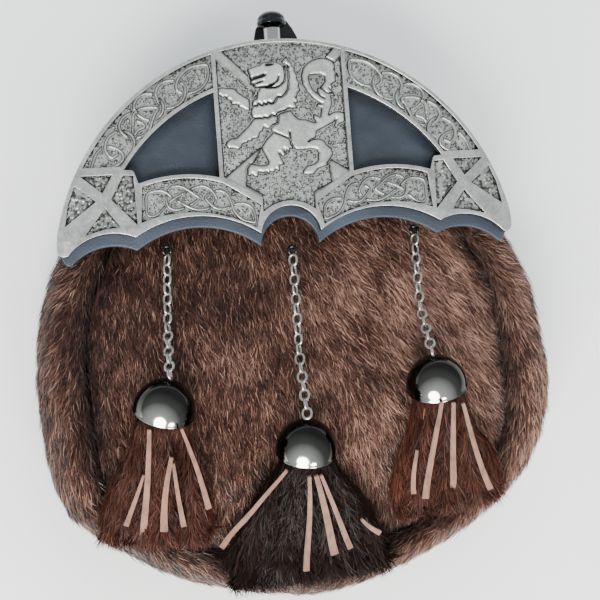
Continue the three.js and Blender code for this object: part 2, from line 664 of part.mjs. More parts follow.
function makeChain(drop, pose) {
  const route = chainRoute(drop, pose);
  const span = route.getLength() - LINK_LENGTH;
  const count = Math.round(span / LINK_PITCH) + 1;
  const link = linkGeometry();
  const links = Array.from({ length: count }, (_, i) => {
    const u = (LINK_LENGTH / 2 + (span * i) / (count - 1)) / route.getLength();
    const tangent = route.getTangentAt(u).normalize();
    const roll = new THREE.Quaternion().setFromAxisAngle(tangent, radians(25 + 90 * (i % 2)));
    const turn = new THREE.Quaternion().setFromUnitVectors(UP, tangent).premultiply(roll);
    const matrix = new THREE.Matrix4().compose(route.getPointAt(u), turn, new THREE.Vector3(1, 1, 1));
    return manifoldOf(link.clone().applyMatrix4(matrix));
  });
  add(`chain_${drop.name}`, geometryFrom(links.reduce((all, one) => all.add(one))), STEEL);

  const first = route.getPointAt(0);
  const back = route.getTangentAt(0).normalize();
  const ring = new THREE.TorusGeometry(ANCHOR_RADIUS, ANCHOR_WIRE / 2, 6, 14);
  const anchor = add(`anchor_${drop.name}`, ring, BLACK_CHROME);
  anchor.position.copy(first).addScaledVector(back, -ANCHOR_RADIUS - ANCHOR_WIRE / 2 - GAP);
  anchor.position.z += 0.4;
}

// ---------------------------------------------------------------- assembly
makeCantle();
makeFlap();
const fold = makeHinge();
const stations = gussetStations();
makeGusset(stations);
makeFrontPanel(panelEdge(stations));
makeBackPanel(stations);
makeStrapLoops();
makeKnob(fold);
for (const drop of DROPS) {
  const pose = bellPose(drop);
  makeBell(drop, pose);
  makeTassel(drop, pose);
  makeChain(drop, pose);
}

const box = new THREE.Box3().setFromObject(sporran);
const centre = box.getCenter(new THREE.Vector3());
sporran.position.set(-centre.x, -centre.y, -box.min.z);

export default sporran;
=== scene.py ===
import math

import bmesh
import bpy
import numpy as np
from bpy.props import FloatProperty, FloatVectorProperty, IntProperty, PointerProperty
from mathutils import Matrix, Vector, noise
from mathutils.bvhtree import BVHTree
from mathutils.geometry import delaunay_2d_cdt


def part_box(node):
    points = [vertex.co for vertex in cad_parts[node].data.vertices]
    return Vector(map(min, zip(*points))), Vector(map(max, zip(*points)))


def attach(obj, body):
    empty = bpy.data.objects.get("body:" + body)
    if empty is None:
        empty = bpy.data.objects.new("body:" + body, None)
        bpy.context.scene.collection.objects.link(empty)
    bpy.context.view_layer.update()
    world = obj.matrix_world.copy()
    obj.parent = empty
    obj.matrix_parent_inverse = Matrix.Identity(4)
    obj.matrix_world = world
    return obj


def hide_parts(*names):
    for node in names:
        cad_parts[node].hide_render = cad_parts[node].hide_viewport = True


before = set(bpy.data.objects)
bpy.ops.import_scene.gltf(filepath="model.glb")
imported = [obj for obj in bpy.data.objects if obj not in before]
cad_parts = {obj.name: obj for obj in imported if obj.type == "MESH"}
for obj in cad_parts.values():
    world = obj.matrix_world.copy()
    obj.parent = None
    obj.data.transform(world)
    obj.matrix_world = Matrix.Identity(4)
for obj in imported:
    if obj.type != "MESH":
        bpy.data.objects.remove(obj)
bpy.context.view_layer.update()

bl_info = {
    "name": "Dress sporran",
    "version": (1, 0, 0),
    "blender": (4, 5, 0),
    "location": "3D View > Sidebar > Sporran",
    "description": "Builds a fur dress sporran with a cast cantle, chains, bells and tassels",
    "category": "Add Mesh",
}

# ------------------------------------------------------------------ the sporran's own measuring frame
# Tables are in millimetres, from the middle of the line between the cantle's two tips. x runs to the
# right, y up the sporran and z out of its front, from the surface that the sporran lies on.
MM = 0.001
ARC_RADIUS = 79.4
ARC_CENTRE_Y = -8.9
cantle_low, cantle_high = (Vector(corner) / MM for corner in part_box("cantle"))
flap_low, flap_high = (Vector(corner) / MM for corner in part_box("flap"))
SHIFT = np.array([(cantle_low.x + cantle_high.x) / 2, cantle_high.y - ARC_RADIUS - ARC_CENTRE_Y, 0.0])

TIP_X = 77.7
BAND_INNER = 67.2
BAND_OUTER = 77.9
WINDOW_RADIUS = 65.8
BAR_X = 22.3
BAR_WIDTH = 1.5
FLOOR_Z = cantle_low.z + 2.3
FRAME_Z = FLOOR_Z + 1.35

# The three drops: chain's first point, centre of the bell's rim, turn of the bell's crown in degrees, half
# width of the tassel's foot, its length, and how far it swings to the right in degrees. A thong is its
# start and end beside the bell's rim centre, and its width.
DROPS = {
    "left": {
        "anchor": (-41.8, 0.2), "bell": (-47.3, -51.5), "turn": 13, "fan": 18, "reach": 40, "swing": -6,
        "thongs": (
            (-5.5, -5.5, -9.5, -41.5, 2.3), (-8.0, -20.0, -14.5, -36.5, 1.6), (1.0, -15.0, -2.5, -39.5, 2.4),
            (1.5, -17.0, 4.0, -38.5, 1.8), (4.5, -6.0, 12.5, -33.5, 1.8),
        ),
    },
    "middle": {
        "anchor": (0.6, -2.6), "bell": (-2.2, -68.1), "turn": 2, "fan": 27, "reach": 41, "swing": 2,
        "thongs": (
            (-8.0, -5.5, -28.5, -31.5, 1.9), (-0.8, -8.0, -1.5, -41.0, 2.0), (1.4, -8.0, 8.5, -36.5, 2.7),
            (3.0, -8.0, 14.0, -35.0, 1.9), (17.5, -25.0, 24.5, -31.0, 1.8),
        ),
    },
    "right": {
        "anchor": (44.9, 2.2), "bell": (43.5, -50.5), "turn": -12, "fan": 19, "reach": 39, "swing": 6,
        "thongs": (
            (-1.5, -5.5, -5.5, -38.0, 2.2), (2.6, -6.0, 5.0, -39.5, 2.3), (6.0, -6.5, 17.5, -37.0, 2.0),
            (-9.0, -21.0, -9.5, -36.0, 1.7),
        ),
    },
}
BELL_RADIUS = 10.2
BELL_TILT = 30
LINK_LENGTH = 4.8
LINK_WIDTH = 3.9
LINK_WIRE = 0.95
LINK_PITCH = 3.52
CHAIN_CLEARANCE = 2.1

# Heights above the cantle's sunk floor: the saltire's arms, and a strand where it passes under and over.
ARM_LEVEL = 0.85
STRAND_LEVELS = (0.75, 1.2)

# How far the skins and the hair roots lie under the bag's outer form, and how high the thongs lie over the
# tassels at the bell, less what they lose by their ends.
SKIN_DEPTH = 0.9
ROOT_DEPTH = 1.6
TASSEL_SKIN_DEPTH = 1.2
THONG_RISE = 6.2
THONG_SLOPE = 2.6

# The camera: angles in degrees, the rest in millimetres.
CAMERA_YAW = 9.63
CAMERA_PITCH = 2.07
CAMERA_ROLL = -4.262
CAMERA_DISTANCE = 403.62
CAMERA_TARGET = (1.083, -18.894, 36.3)
LENS = 71.925
FLOOR_SIZE = 3.0
FLOOR_DROP = 0.0002


# ------------------------------------------------------------------ plane curves
def arc_through(a, b, c, steps):
    """Points on the circle through a, b and c, from a to c."""
    a, b, c = (np.array(p, float) for p in (a, b, c))
    d = 2 * (a[0] * (b[1] - c[1]) + b[0] * (c[1] - a[1]) + c[0] * (a[1] - b[1]))
    aa, bb, cc = a @ a, b @ b, c @ c
    centre = np.array([
        (aa * (b[1] - c[1]) + bb * (c[1] - a[1]) + cc * (a[1] - b[1])) / d,
        (aa * (c[0] - b[0]) + bb * (a[0] - c[0]) + cc * (b[0] - a[0])) / d,
    ])
    radius = np.linalg.norm(a - centre)
    ta, tb, tc = (math.atan2(p[1] - centre[1], p[0] - centre[0]) for p in (a, b, c))
    turn = 2 * math.pi
    if (tb - ta) % turn < (tc - ta) % turn:
        sweep = (tc - ta) % turn
    else:
        sweep = -((ta - tc) % turn)
    t = ta + sweep * np.linspace(0, 1, steps + 1)
    return [tuple(p) for p in centre + radius * np.stack([np.cos(t), np.sin(t)], axis=1)]


def arc_band(radius, start, end, steps):
    """Points of the cantle's own circle between two angles from the vertical, in degrees."""
    t = np.radians(np.linspace(start, end, steps + 1))
    return [(radius * math.sin(a), ARC_CENTRE_Y + radius * math.cos(a)) for a in t]


def angle_at_x(radius, x):
    return math.degrees(math.asin(x / radius))


def angle_at_y(radius, y):
    return math.degrees(math.acos((y - ARC_CENTRE_Y) / radius))


def mirror(points):
    return [(-x, y) for x, y in points][::-1]


def scallops(corner, tip, end_crown, cusp, main_crown, inner_cusp, arch_crown):
    """A scalloped lower edge from the right tip to the left tip."""
    right = corner + arc_through(tip, end_crown, cusp, 14)[:-1]
    right += arc_through(cusp, main_crown, inner_cusp, 24)[:-1]
    arch = arc_through(inner_cusp, arch_crown, (-inner_cusp[0], inner_cusp[1]), 28)
    return right + arch + mirror(right)


def cantle_outline(inset=0.0):
    tip = angle_at_x(ARC_RADIUS - inset, TIP_X - inset)
    corner = [(77.95 - inset, 4.6), (77.9 - inset, 2.2), (77.3 - inset, 0.8), (76.1 - inset / 2, 0.2)]
    edge = scallops(corner, (74.6, 0.4), (61.5, 7.1), (52.1, 5.4), (34, 11.3), (10.2, 4.3), (0, 13.3))
    return arc_band(ARC_RADIUS - inset, -tip, tip, 150) + edge


def window_outlines():
    inner = BAR_X + BAR_WIDTH / 2
    right = [(inner, 24.0)]
    right += arc_band(WINDOW_RADIUS, angle_at_x(WINDOW_RADIUS, inner), angle_at_y(WINDOW_RADIUS, 28), 40)
    right += [(51.8, 27.8), (51.2, 27.2)]
    right += arc_through((50.0, 23.3), (36, 25.6), (inner, 24.0), 20)[:-1]
    return [right, mirror(right)]


def knot_floors():
    """The sunk floors that hold knots: the right upper band, the right lower band, and their mirrors."""
    inner = BAR_X + BAR_WIDTH / 2
    upper = arc_band(BAND_OUTER, angle_at_x(BAND_OUTER, inner), angle_at_y(BAND_OUTER, 29.2), 50)
    upper += arc_band(BAND_INNER, angle_at_y(BAND_INNER, 29.2), angle_at_x(BAND_INNER, inner), 44)
    lower = arc_through((49.9, 10.2), (34, 12.8), (11.6, 6.4), 24)
    lower += [(9.6, 14.0)] + arc_through((22.0, 22.0), (36, 24.2), (48.9, 22.0), 16)
    return [upper, lower, mirror(upper), mirror(lower)]


def end_floors():
    """The four sunk cells round each end panel's saltire."""
    right = [
        [(68.9, 26.5), (58.5, 26.5), (62.1, 20.6)],
        [(71.0, 23.4), (64.4, 17.9), (74.8, 10.2), (73.4, 17.4)],
        [(54.9, 26.2), (51.6, 26.0), (51.3, 9.6), (59.3, 18.4)],
        [(61.5, 15.6), (56.9, 9.1), (62.0, 8.7), (68.4, 7.0)],
    ]
    return right + [mirror(cell) for cell in right]


def middle_panel():
    """The whole panel between the two upright bars, down to the small arch below it."""
    x = BAR_X - BAR_WIDTH / 2
    half = angle_at_x(BAND_OUTER, x)
    arch = arc_through((-9.0, 11.6), (0, 15.0), (9.0, 11.6), 16)[1:-1]
    foot = [(-x, 24.0), (-9.0, 16.6), (-9.0, 11.6)]
    return arc_band(BAND_OUTER, -half, half, 30) + mirror(foot[::-1]) + arch[::-1] + foot[::-1]


def middle_floors():
    """The sunk ground behind the lion, between the arms of a wide saltire."""
    x = BAR_X - BAR_WIDTH / 2
    arch = arc_through((-8.6, 11.8), (0, 15.0), (8.6, 11.8), 16)[1:-1]
    return [
        [(-19.5, 66.8)] + arc_band(BAND_OUTER, -14.2, 14.2, 24) + [(19.5, 66.8), (0, 46.5)],
        [(-x, 63.8), (-2.5, 46.0), (-3.6, 38.5), (-8.4, 33.3), (-x, 23.2)],
        [(x, 63.8), (x, 24.2), (14.6, 28.7), (2.5, 46.0)],
        [(-4.5, 37.5), (-8.2, 33.2), (-11.5, 28.2), (-13.6, 25.6), (-14.2, 20.6), (-9.0, 17.5), (-9.0, 11.6)]
        + arch + [(9.0, 11.6), (9.0, 17.5), (15.4, 20.6), (14.6, 28.7), (6, 40)],
        [(2.5, 46.5), (10.5, 61.5), (14.8, 59.5), (15.5, 44)],
    ]


def blended(points, per=8, closed=False):
    """A Catmull-Rom curve through rows of numbers."""
    p = np.array(points, float)
    p = np.vstack([p[-1], p, p[0], p[1]]) if closed else np.vstack([2 * p[0] - p[1], p, 2 * p[-1] - p[-2]])
    t = np.linspace(0, 1, per, endpoint=False)[:, None]
    spans = []
    for a, b, c, d in zip(p, p[1:], p[2:], p[3:]):
        spans.append(0.5 * (2 * b + (c - a) * t + (2 * a - 5 * b + 4 * c - d) * t**2
                            + (3 * b - a - 3 * c + d) * t**3))
    curve = np.vstack(spans)
    return curve if closed else np.vstack([curve, p[-2]])


# ------------------------------------------------------------------ meshes
def to_frame(points):
    return (np.asarray(points, float) + SHIFT) * MM


def mesh_piece(name, points, face_sets, material, colours=None, sharp=None):
    """A mesh object from points in millimetres and arrays of faces; colours is one RGB row per point."""
    mesh = bpy.data.meshes.new(name)
    world = to_frame(points)
    mesh.vertices.add(len(world))
    mesh.vertices.foreach_set("co", world.ravel())
    face_sets = [np.asarray(faces, int) for faces in face_sets if len(faces)]
    corners = np.concatenate([faces.ravel() for faces in face_sets])
    sizes = np.concatenate([np.full(len(faces), faces.shape[1]) for faces in face_sets])
    mesh.loops.add(len(corners))
    mesh.loops.foreach_set("vertex_index", corners)
    mesh.polygons.add(len(sizes))
    mesh.polygons.foreach_set("loop_start", np.concatenate([[0], np.cumsum(sizes)[:-1]]))
    mesh.update(calc_edges=True)
    mesh.polygons.foreach_set("use_smooth", np.ones(len(sizes), bool))
    if sharp is not None:
        mesh.set_sharp_from_angle(angle=math.radians(sharp))
    if colours is not None:
        layer = mesh.attributes.new("tint", "FLOAT_COLOR", "POINT")
        rows = np.column_stack([colours, np.ones(len(world))])
        layer.data.foreach_set("color", rows.ravel())
    mesh.materials.append(material)
    piece = bpy.data.objects.new(name, mesh)
    bpy.context.scene.collection.objects.link(piece)
    return piece


def seat(piece, slot, *replaced):
    """Every piece belongs to the sporran's one body and hides the CAD parts that it replaces; slot is not
    used.
    """
    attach(piece, "root")
    if replaced:
        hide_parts(*replaced)
    return piece


def plate(name, outline, holes, low, high, bevel, material):
    """A flat plate with rounded edges, cut from an outline with holes."""
    curve = bpy.data.curves.new(name, "CURVE")
    curve.dimensions = "2D"
    curve.fill_mode = "BOTH"
    curve.extrude = (high - low) / 2 - bevel
    curve.bevel_depth = bevel
    curve.bevel_resolution = 2
    curve.offset = -bevel
    for loop in [outline] + list(holes):
        spline = curve.splines.new("POLY")
        spline.points.add(len(loop) - 1)
        spline.use_cyclic_u = True
        for point, (x, y) in zip(spline.points, loop):
            point.co = (x, y, 0, 1)
    helper = bpy.data.objects.new(name, curve)
    bpy.context.scene.collection.objects.link(helper)
    graph = bpy.context.evaluated_depsgraph_get()
    made = bpy.data.meshes.new_from_object(helper.evaluated_get(graph))
    bpy.data.objects.remove(helper)
    bpy.data.curves.remove(curve)
    points = np.array([v.co for v in made.vertices])
    points[:, 2] += (low + high) / 2
    threes = [tuple(p.vertices) for p in made.polygons if len(p.vertices) == 3]
    fours = [tuple(p.vertices) for p in made.polygons if len(p.vertices) == 4]
    bpy.data.meshes.remove(made)
    piece = mesh_piece(name, points, [threes, fours], material)
    weld(piece, 0.004)
    piece.data.set_sharp_from_angle(angle=math.radians(50))
    return piece


def weld(piece, distance):
    """Joins points closer than a distance in millimetres."""
    work = bmesh.new()
    work.from_mesh(piece.data)
    bmesh.ops.remove_doubles(work, verts=work.verts, dist=distance * MM)
    work.to_mesh(piece.data)
    work.free()


def sweep(path, radii, sides=10, closed=False, flat=(1.0, 1.0), up=(0, 0, 1)):
    """Points and faces of a tube along a path. flat scales its section across and along up."""
    path = np.asarray(path, float)
    count = len(path)
    radii = np.broadcast_to(np.asarray(radii, float), (count,))
    if closed:
        tangent = np.roll(path, -1, 0) - np.roll(path, 1, 0)
    else:
        tangent = np.gradient(path, axis=0)
    tangent /= np.linalg.norm(tangent, axis=1)[:, None]
    side = np.cross(tangent, np.asarray(up, float))
    side /= np.maximum(np.linalg.norm(side, axis=1), 1e-9)[:, None]
    normal = np.cross(side, tangent)
    angle = 2 * math.pi * np.arange(sides) / sides
    ring = (side[:, None] * (np.cos(angle) * flat[0])[None, :, None]
            + normal[:, None] * (np.sin(angle) * flat[1])[None, :, None])
    points = (path[:, None] + ring * radii[:, None, None]).reshape(-1, 3)
    i, j = np.meshgrid(np.arange(count if closed else count - 1), np.arange(sides), indexing="ij")
    a, b = i * sides + j, i * sides + (j + 1) % sides
    c, d = ((i + 1) % count) * sides + (j + 1) % sides, ((i + 1) % count) * sides + j
    fours = np.stack([a, b, c, d], axis=-1).reshape(-1, 4)
    threes = np.zeros((0, 3), int)
    if not closed:
        fan = np.arange(1, sides - 1)
        start = np.stack([np.zeros_like(fan), fan + 1, fan], axis=1)
        end = (count - 1) * sides + np.stack([np.zeros_like(fan), fan, fan + 1], axis=1)
        threes = np.vstack([start, end])
    return points, fours, threes


def joined(name, parts, material, sharp=None):
    """One mesh piece out of several (points, fours, threes) parts."""
    offset, points, fours, threes = 0, [], [], []
    for part_points, part_fours, part_threes in parts:
        points.append(part_points)
        fours.append(part_fours + offset)
        threes.append(part_threes + offset)
        offset += len(part_points)
    return mesh_piece(name, np.vstack(points), [np.vstack(fours), np.vstack(threes)], material, sharp=sharp)


def turned(profile, centre, axis, sides=64):
    """Points and faces of a turned form: profile rows are radius and height along the axis."""
    axis = Vector(axis).normalized()
    turn = Vector((0, 0, 1)).rotation_difference(axis).to_matrix()
    angle = 2 * math.pi * np.arange(sides) / sides
    rings = [[(r * math.cos(a), r * math.sin(a), h) for a in angle] for r, h in profile]
    points = np.array(rings).reshape(-1, 3) @ np.array(turn).T + np.array(centre)
    i, j = np.meshgrid(np.arange(len(profile) - 1), np.arange(sides), indexing="ij")
    a, b = i * sides + j, i * sides + (j + 1) % sides
    fours = np.stack([a, b, b + sides, a + sides], axis=-1).reshape(-1, 4)
    return points, fours, np.zeros((0, 3), int)


# ------------------------------------------------------------------ surfaces of the CAD solids
def solid_triangles(*names):
    """Corners of the named nodes' triangles in millimetres, as rows of three points."""
    triangles = []
    for name in names:
        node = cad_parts[name]
        mesh = node.data
        mesh.calc_loop_triangles()
        points = np.empty(len(mesh.vertices) * 3)
        mesh.vertices.foreach_get("co", points)
        points = points.reshape(-1, 3) @ np.array(node.matrix_world)[:3, :3].T
        points = (points + np.array(node.matrix_world)[:3, 3]) / MM - SHIFT
        index = np.empty(len(mesh.loop_triangles) * 3, int)
        mesh.loop_triangles.foreach_get("vertices", index)
        triangles.append(points[index].reshape(-1, 3, 3))
    return np.vstack(triangles)


def merged(triangles):
    """Shared points, faces and point normals of loose triangles."""
    corners = triangles.reshape(-1, 3)
    keys, first, index = np.unique(np.round(corners, 2), axis=0, return_index=True, return_inverse=True)
    faces = index.reshape(-1, 3)
    normal = np.cross(triangles[:, 1] - triangles[:, 0], triangles[:, 2] - triangles[:, 0])
    total = np.zeros_like(keys)
    for corner in range(3):
        np.add.at(total, faces[:, corner], normal)
    total /= np.maximum(np.linalg.norm(total, axis=1), 1e-9)[:, None]
    return corners[first], faces, total


def tree_of(triangles):
    points = [Vector(p) for p in triangles.reshape(-1, 3)]
    return BVHTree.FromPolygons(points, [(3 * i, 3 * i + 1, 3 * i + 2) for i in range(len(triangles))])


BAG = ("front_panel", "gusset")
bag_tree = tree_of(solid_triangles(*BAG))


def fur_height(x, y):
    """Height of the bag's outer form at a place."""
    place = bag_tree.ray_cast(Vector((x, y, 200)), Vector((0, 0, -1)))[0]
    return place.z if place else 0.0


# ------------------------------------------------------------------ materials
def node_material(name):
    material = bpy.data.materials.new(name)
    material.use_nodes = True
    tree = material.node_tree
    return material, tree, tree.nodes["Principled BSDF"]


def add_node(tree, kind, values=None, **settings):
    node = tree.nodes.new(kind)
    for key, value in settings.items():
        setattr(node, key, value)
    for socket, value in (values or {}).items():
        node.inputs[socket].default_value = value
    return node


def ramp(tree, source, stops):
    """A colour ramp fed by a socket; stops are (position, RGB)."""
    node = tree.nodes.new("ShaderNodeValToRGB")
    while len(node.color_ramp.elements) < len(stops):
        node.color_ramp.elements.new(0.5)
    for element, (position, colour) in zip(node.color_ramp.elements, stops):
        element.position = position
        element.color = (*colour, 1)
    tree.links.new(source, node.inputs["Fac"])
    return node.outputs["Color"]


def noise_of(tree, scale, detail=3.0, roughness=0.55, stretch=(1, 1, 1)):
    """Noise in the object's own metres; scale is features for each metre."""
    place = add_node(tree, "ShaderNodeTexCoord")
    shape = add_node(tree, "ShaderNodeMapping", {"Scale": stretch})
    tree.links.new(place.outputs["Object"], shape.inputs["Vector"])
    made = add_node(tree, "ShaderNodeTexNoise", {"Scale": scale, "Detail": detail, "Roughness": roughness})
    tree.links.new(shape.outputs["Vector"], made.inputs["Vector"])
    return made.outputs["Fac"]


def bump(tree, shader, height, strength, distance):
    """Adds a bump on top of any that the shader already has."""
    node = add_node(tree, "ShaderNodeBump", {"Strength": strength, "Distance": distance})
    tree.links.new(height, node.inputs["Height"])
    if shader.inputs["Normal"].is_linked:
        tree.links.new(shader.inputs["Normal"].links[0].from_socket, node.inputs["Normal"])
    tree.links.new(node.outputs["Normal"], shader.inputs["Normal"])


def shade(colour, factor):
    return tuple(min(1.0, channel * factor) for channel in colour)


def mix_colours(tree, first, second, factor, blend="MIX"):
    """Mixes two colour sockets, or a socket and a fixed colour, by a socket or a number."""
    node = add_node(tree, "ShaderNodeMix", data_type="RGBA", blend_type=blend)
    for socket, value in ((node.inputs[6], first), (node.inputs[7], second), (node.inputs[0], factor)):
        if isinstance(value, bpy.types.NodeSocket):
            tree.links.new(value, socket)
        elif isinstance(value, tuple):
            socket.default_value = (*value, 1)
        else:
            socket.default_value = value
    return node.outputs[2]


def stipple(tree, size):
    """Punched ground: distance to small random cells, which pewter paints as small bright domes, a painted
    highlight, with dark gaps; size is in metres.
    """
    place = add_node(tree, "ShaderNodeTexCoord")
    cells = add_node(tree, "ShaderNodeTexVoronoi", {"Scale": 1 / size, "Randomness": 0.75},
                     voronoi_dimensions="2D")
    tree.links.new(place.outputs["Object"], cells.inputs["Vector"])
    return cells.outputs["Distance"]


def pewter(name, colour, tinted):
    """Antiqued cast metal: with a tint, brighter on raised work, partly wear and partly painted highlight,
    and dark in the patina lines that the tint holds; without one, darker on steep sides, partly patina and
    partly painted shade.
    """
    material, tree, shader = node_material(name)
    cloud = noise_of(tree, 140, 4)
    tone = ramp(tree, cloud, [(0.3, shade(colour, 0.72)), (0.52, colour), (0.75, shade(colour, 1.25))])
    fine = noise_of(tree, 1500, 4, 0.7)
    grain = ramp(tree, fine, [(0.35, (0.72, 0.72, 0.72)), (0.62, (1.1, 1.1, 1.1))])
    tone = mix_colours(tree, tone, grain, 1.0, "MULTIPLY")
    if tinted:
        tint = add_node(tree, "ShaderNodeAttribute", attribute_name="tint")
        tone = mix_colours(tree, tone, tint.outputs["Color"], 1.0, "MULTIPLY")
        ground = add_node(tree, "ShaderNodeAttribute", attribute_name="ground")
        small, large = stipple(tree, 0.00072), stipple(tree, 0.00130)
        # Painted highlight on the punched ground: each small dome is painted bright at its top and dark in
        # the gaps between domes.
        dark, bright = (0.30, 0.30, 0.30), (1.40, 1.40, 1.38)
        specks = ramp(tree, small, [(0.10, bright), (0.36, (0.92, 0.92, 0.91)), (0.62, (0.42, 0.42, 0.42))])
        grains = ramp(tree, large, [(0.12, bright), (0.38, (1.0, 1.0, 0.99)), (0.60, dark)])
        coarse = ramp(tree, ground.outputs["Fac"], [(0.65, (0, 0, 0)), (0.8, (1, 1, 1))])
        sunk = ramp(tree, ground.outputs["Fac"], [(0.15, (0, 0, 0)), (0.4, (1, 1, 1))])
        pattern = mix_colours(tree, specks, grains, coarse)
        tone = mix_colours(tree, tone, mix_colours(tree, tone, pattern, 1.0, "MULTIPLY"), sunk)
        lifted = mix_colours(tree, (0.0, 0.0, 0.0), pattern, sunk)
        bump(tree, shader, lifted, 0.8, 0.00018)
    else:
        # Painted shade, partly patina: faces that slant away from straight up are painted darker, sideways
        # faces nearly black.
        steep = add_node(tree, "ShaderNodeNewGeometry")
        parts = add_node(tree, "ShaderNodeSeparateXYZ")
        tree.links.new(steep.outputs["Normal"], parts.inputs["Vector"])
        facing = ramp(tree, parts.outputs["Z"], [(0.1, (0.10, 0.10, 0.10)), (0.75, (1, 1, 1))])
        tone = mix_colours(tree, tone, facing, 1.0, "MULTIPLY")
    tree.links.new(tone, shader.inputs["Base Color"])
    shader.inputs["Metallic"].default_value = 0.85
    wear = ramp(tree, noise_of(tree, 420, 5), [(0.35, (0.30, 0.30, 0.30)), (0.7, (0.46, 0.46, 0.46))])
    tree.links.new(wear, shader.inputs["Roughness"])
    bump(tree, shader, noise_of(tree, 900, 3), 0.25, 0.0002)
    bump(tree, shader, noise_of(tree, 2600, 2), 0.2, 0.0001)
    return material


def polished(name, colour, roughness, streak=0.0):
    """Dark mirror metal with faint haze and fine scratches."""
    material, tree, shader = node_material(name)
    tone = ramp(tree, noise_of(tree, 90, 4), [(0.35, shade(colour, 0.85)), (0.7, shade(colour, 1.1))])
    tree.links.new(tone, shader.inputs["Base Color"])
    shader.inputs["Metallic"].default_value = 1.0
    haze = ramp(tree, noise_of(tree, 260, 5), [(0.4, (roughness,) * 3), (0.8, (roughness * 2.2,) * 3)])
    tree.links.new(haze, shader.inputs["Roughness"])
    bump(tree, shader, noise_of(tree, 500, 4, stretch=(1, 4, 1)), 0.04 + streak, 0.0001)
    return material


def domed(name, colour):
    """Dark polished nickel with a painted reflection: its colour is nearly black above and bright on the side
    that faces the window lamp.
    """
    material, tree, shader = node_material(name)
    # Painted reflection: the base colour follows which way the surface faces, nearly black above and bright
    # towards the window lamp.
    facing = add_node(tree, "ShaderNodeNewGeometry")
    toward = add_node(tree, "ShaderNodeVectorMath", operation="DOT_PRODUCT")
    toward.inputs[1].default_value = Vector((-0.26, -0.40, 0.88)).normalized()
    tree.links.new(facing.outputs["Normal"], toward.inputs[0])
    tone = ramp(tree, toward.outputs["Value"], [(0.50, shade(colour, 0.05)), (0.76, shade(colour, 0.16)),
                                                (0.90, shade(colour, 0.70)), (0.98, colour)])
    cloud = ramp(tree, noise_of(tree, 110, 4), [(0.35, (0.8, 0.8, 0.8)), (0.7, (1.1, 1.1, 1.1))])
    tree.links.new(mix_colours(tree, tone, cloud, 1.0, "MULTIPLY"), shader.inputs["Base Color"])
    shader.inputs["Metallic"].default_value = 1.0
    haze = ramp(tree, noise_of(tree, 260, 5), [(0.4, (0.09,) * 3), (0.8, (0.17,) * 3)])
    tree.links.new(haze, shader.inputs["Roughness"])
    bump(tree, shader, noise_of(tree, 220, 3), 0.05, 0.0002)
    return material


def leather(name, colour, grain=0.0009, roughness=0.5, gloss=0.35):
    """Grain leather: pebbled cells, pores, and slow changes of colour and shine."""
    material, tree, shader = node_material(name)
    tone = ramp(tree, noise_of(tree, 45, 5), [(0.3, shade(colour, 0.75)), (0.55, colour),
                                              (0.8, shade(colour, 1.5))])
    tree.links.new(tone, shader.inputs["Base Color"])
    place = add_node(tree, "ShaderNodeTexCoord")
    cells = add_node(tree, "ShaderNodeTexVoronoi", {"Scale": 1 / grain}, feature="DISTANCE_TO_EDGE")
    tree.links.new(place.outputs["Object"], cells.inputs["Vector"])
    lifted = ramp(tree, cells.outputs["Distance"], [(0.0, (0, 0, 0)), (0.25, (1, 1, 1))])
    bump(tree, shader, lifted, 0.3, 0.00015)
    bump(tree, shader, noise_of(tree, 2200, 3), 0.18, 0.00012)
    shine = ramp(tree, noise_of(tree, 120, 4), [(0.3, (roughness - 0.08,) * 3),
                                                (0.75, (roughness + 0.12,) * 3)])
    tree.links.new(shine, shader.inputs["Roughness"])
    shader.inputs["Specular IOR Level"].default_value = gloss
    return material


def hair(name, roughness=0.36, sheen=0.1, gloss=0.45):
    """Glossy hairs that take their colour from the tint of each strand."""
    material, tree, shader = node_material(name)
    tint = add_node(tree, "ShaderNodeAttribute", attribute_name="tint")
    cloud = ramp(tree, noise_of(tree, 160, 4), [(0.3, (0.82, 0.8, 0.8)), (0.7, (1.12, 1.1, 1.08))])
    tone = mix_colours(tree, tint.outputs["Color"], cloud, 1.0, "MULTIPLY")
    tree.links.new(tone, shader.inputs["Base Color"])
    shader.inputs["Roughness"].default_value = roughness
    shader.inputs["Specular IOR Level"].default_value = gloss
    shader.inputs["Sheen Weight"].default_value = sheen
    shader.inputs["Sheen Roughness"].default_value = 0.4
    return material


def hide_skin(name, colour):
    """The skin under the fur: streaked with the hair's own colours."""
    material, tree, shader = node_material(name)
    streaks = noise_of(tree, 700, 5, stretch=(1, 0.15, 1))
    tone = ramp(tree, streaks, [(0.3, shade(colour, 0.3)), (0.6, shade(colour, 0.7)), (0.85, colour)])
    tree.links.new(tone, shader.inputs["Base Color"])
    shader.inputs["Roughness"].default_value = 0.7
    bump(tree, shader, streaks, 0.6, 0.0008)
    return material


def suede(name, colour):
    """Napped flesh side of a thong."""
    material, tree, shader = node_material(name)
    tone = ramp(tree, noise_of(tree, 420, 5, stretch=(1, 0.3, 1)),
                [(0.3, shade(colour, 0.55)), (0.55, colour), (0.8, shade(colour, 1.25))])
    tree.links.new(tone, shader.inputs["Base Color"])
    shader.inputs["Roughness"].default_value = 0.85
    shader.inputs["Sheen Weight"].default_value = 0.3
    bump(tree, shader, noise_of(tree, 1800, 4), 0.5, 0.0002)
    return material


def floor_paint(name, colour):
    material, tree, shader = node_material(name)
    tone = ramp(tree, noise_of(tree, 6, 3), [(0.3, shade(colour, 0.985)), (0.7, colour)])
    tree.links.new(tone, shader.inputs["Base Color"])
    shader.inputs["Roughness"].default_value = 0.9
    return material


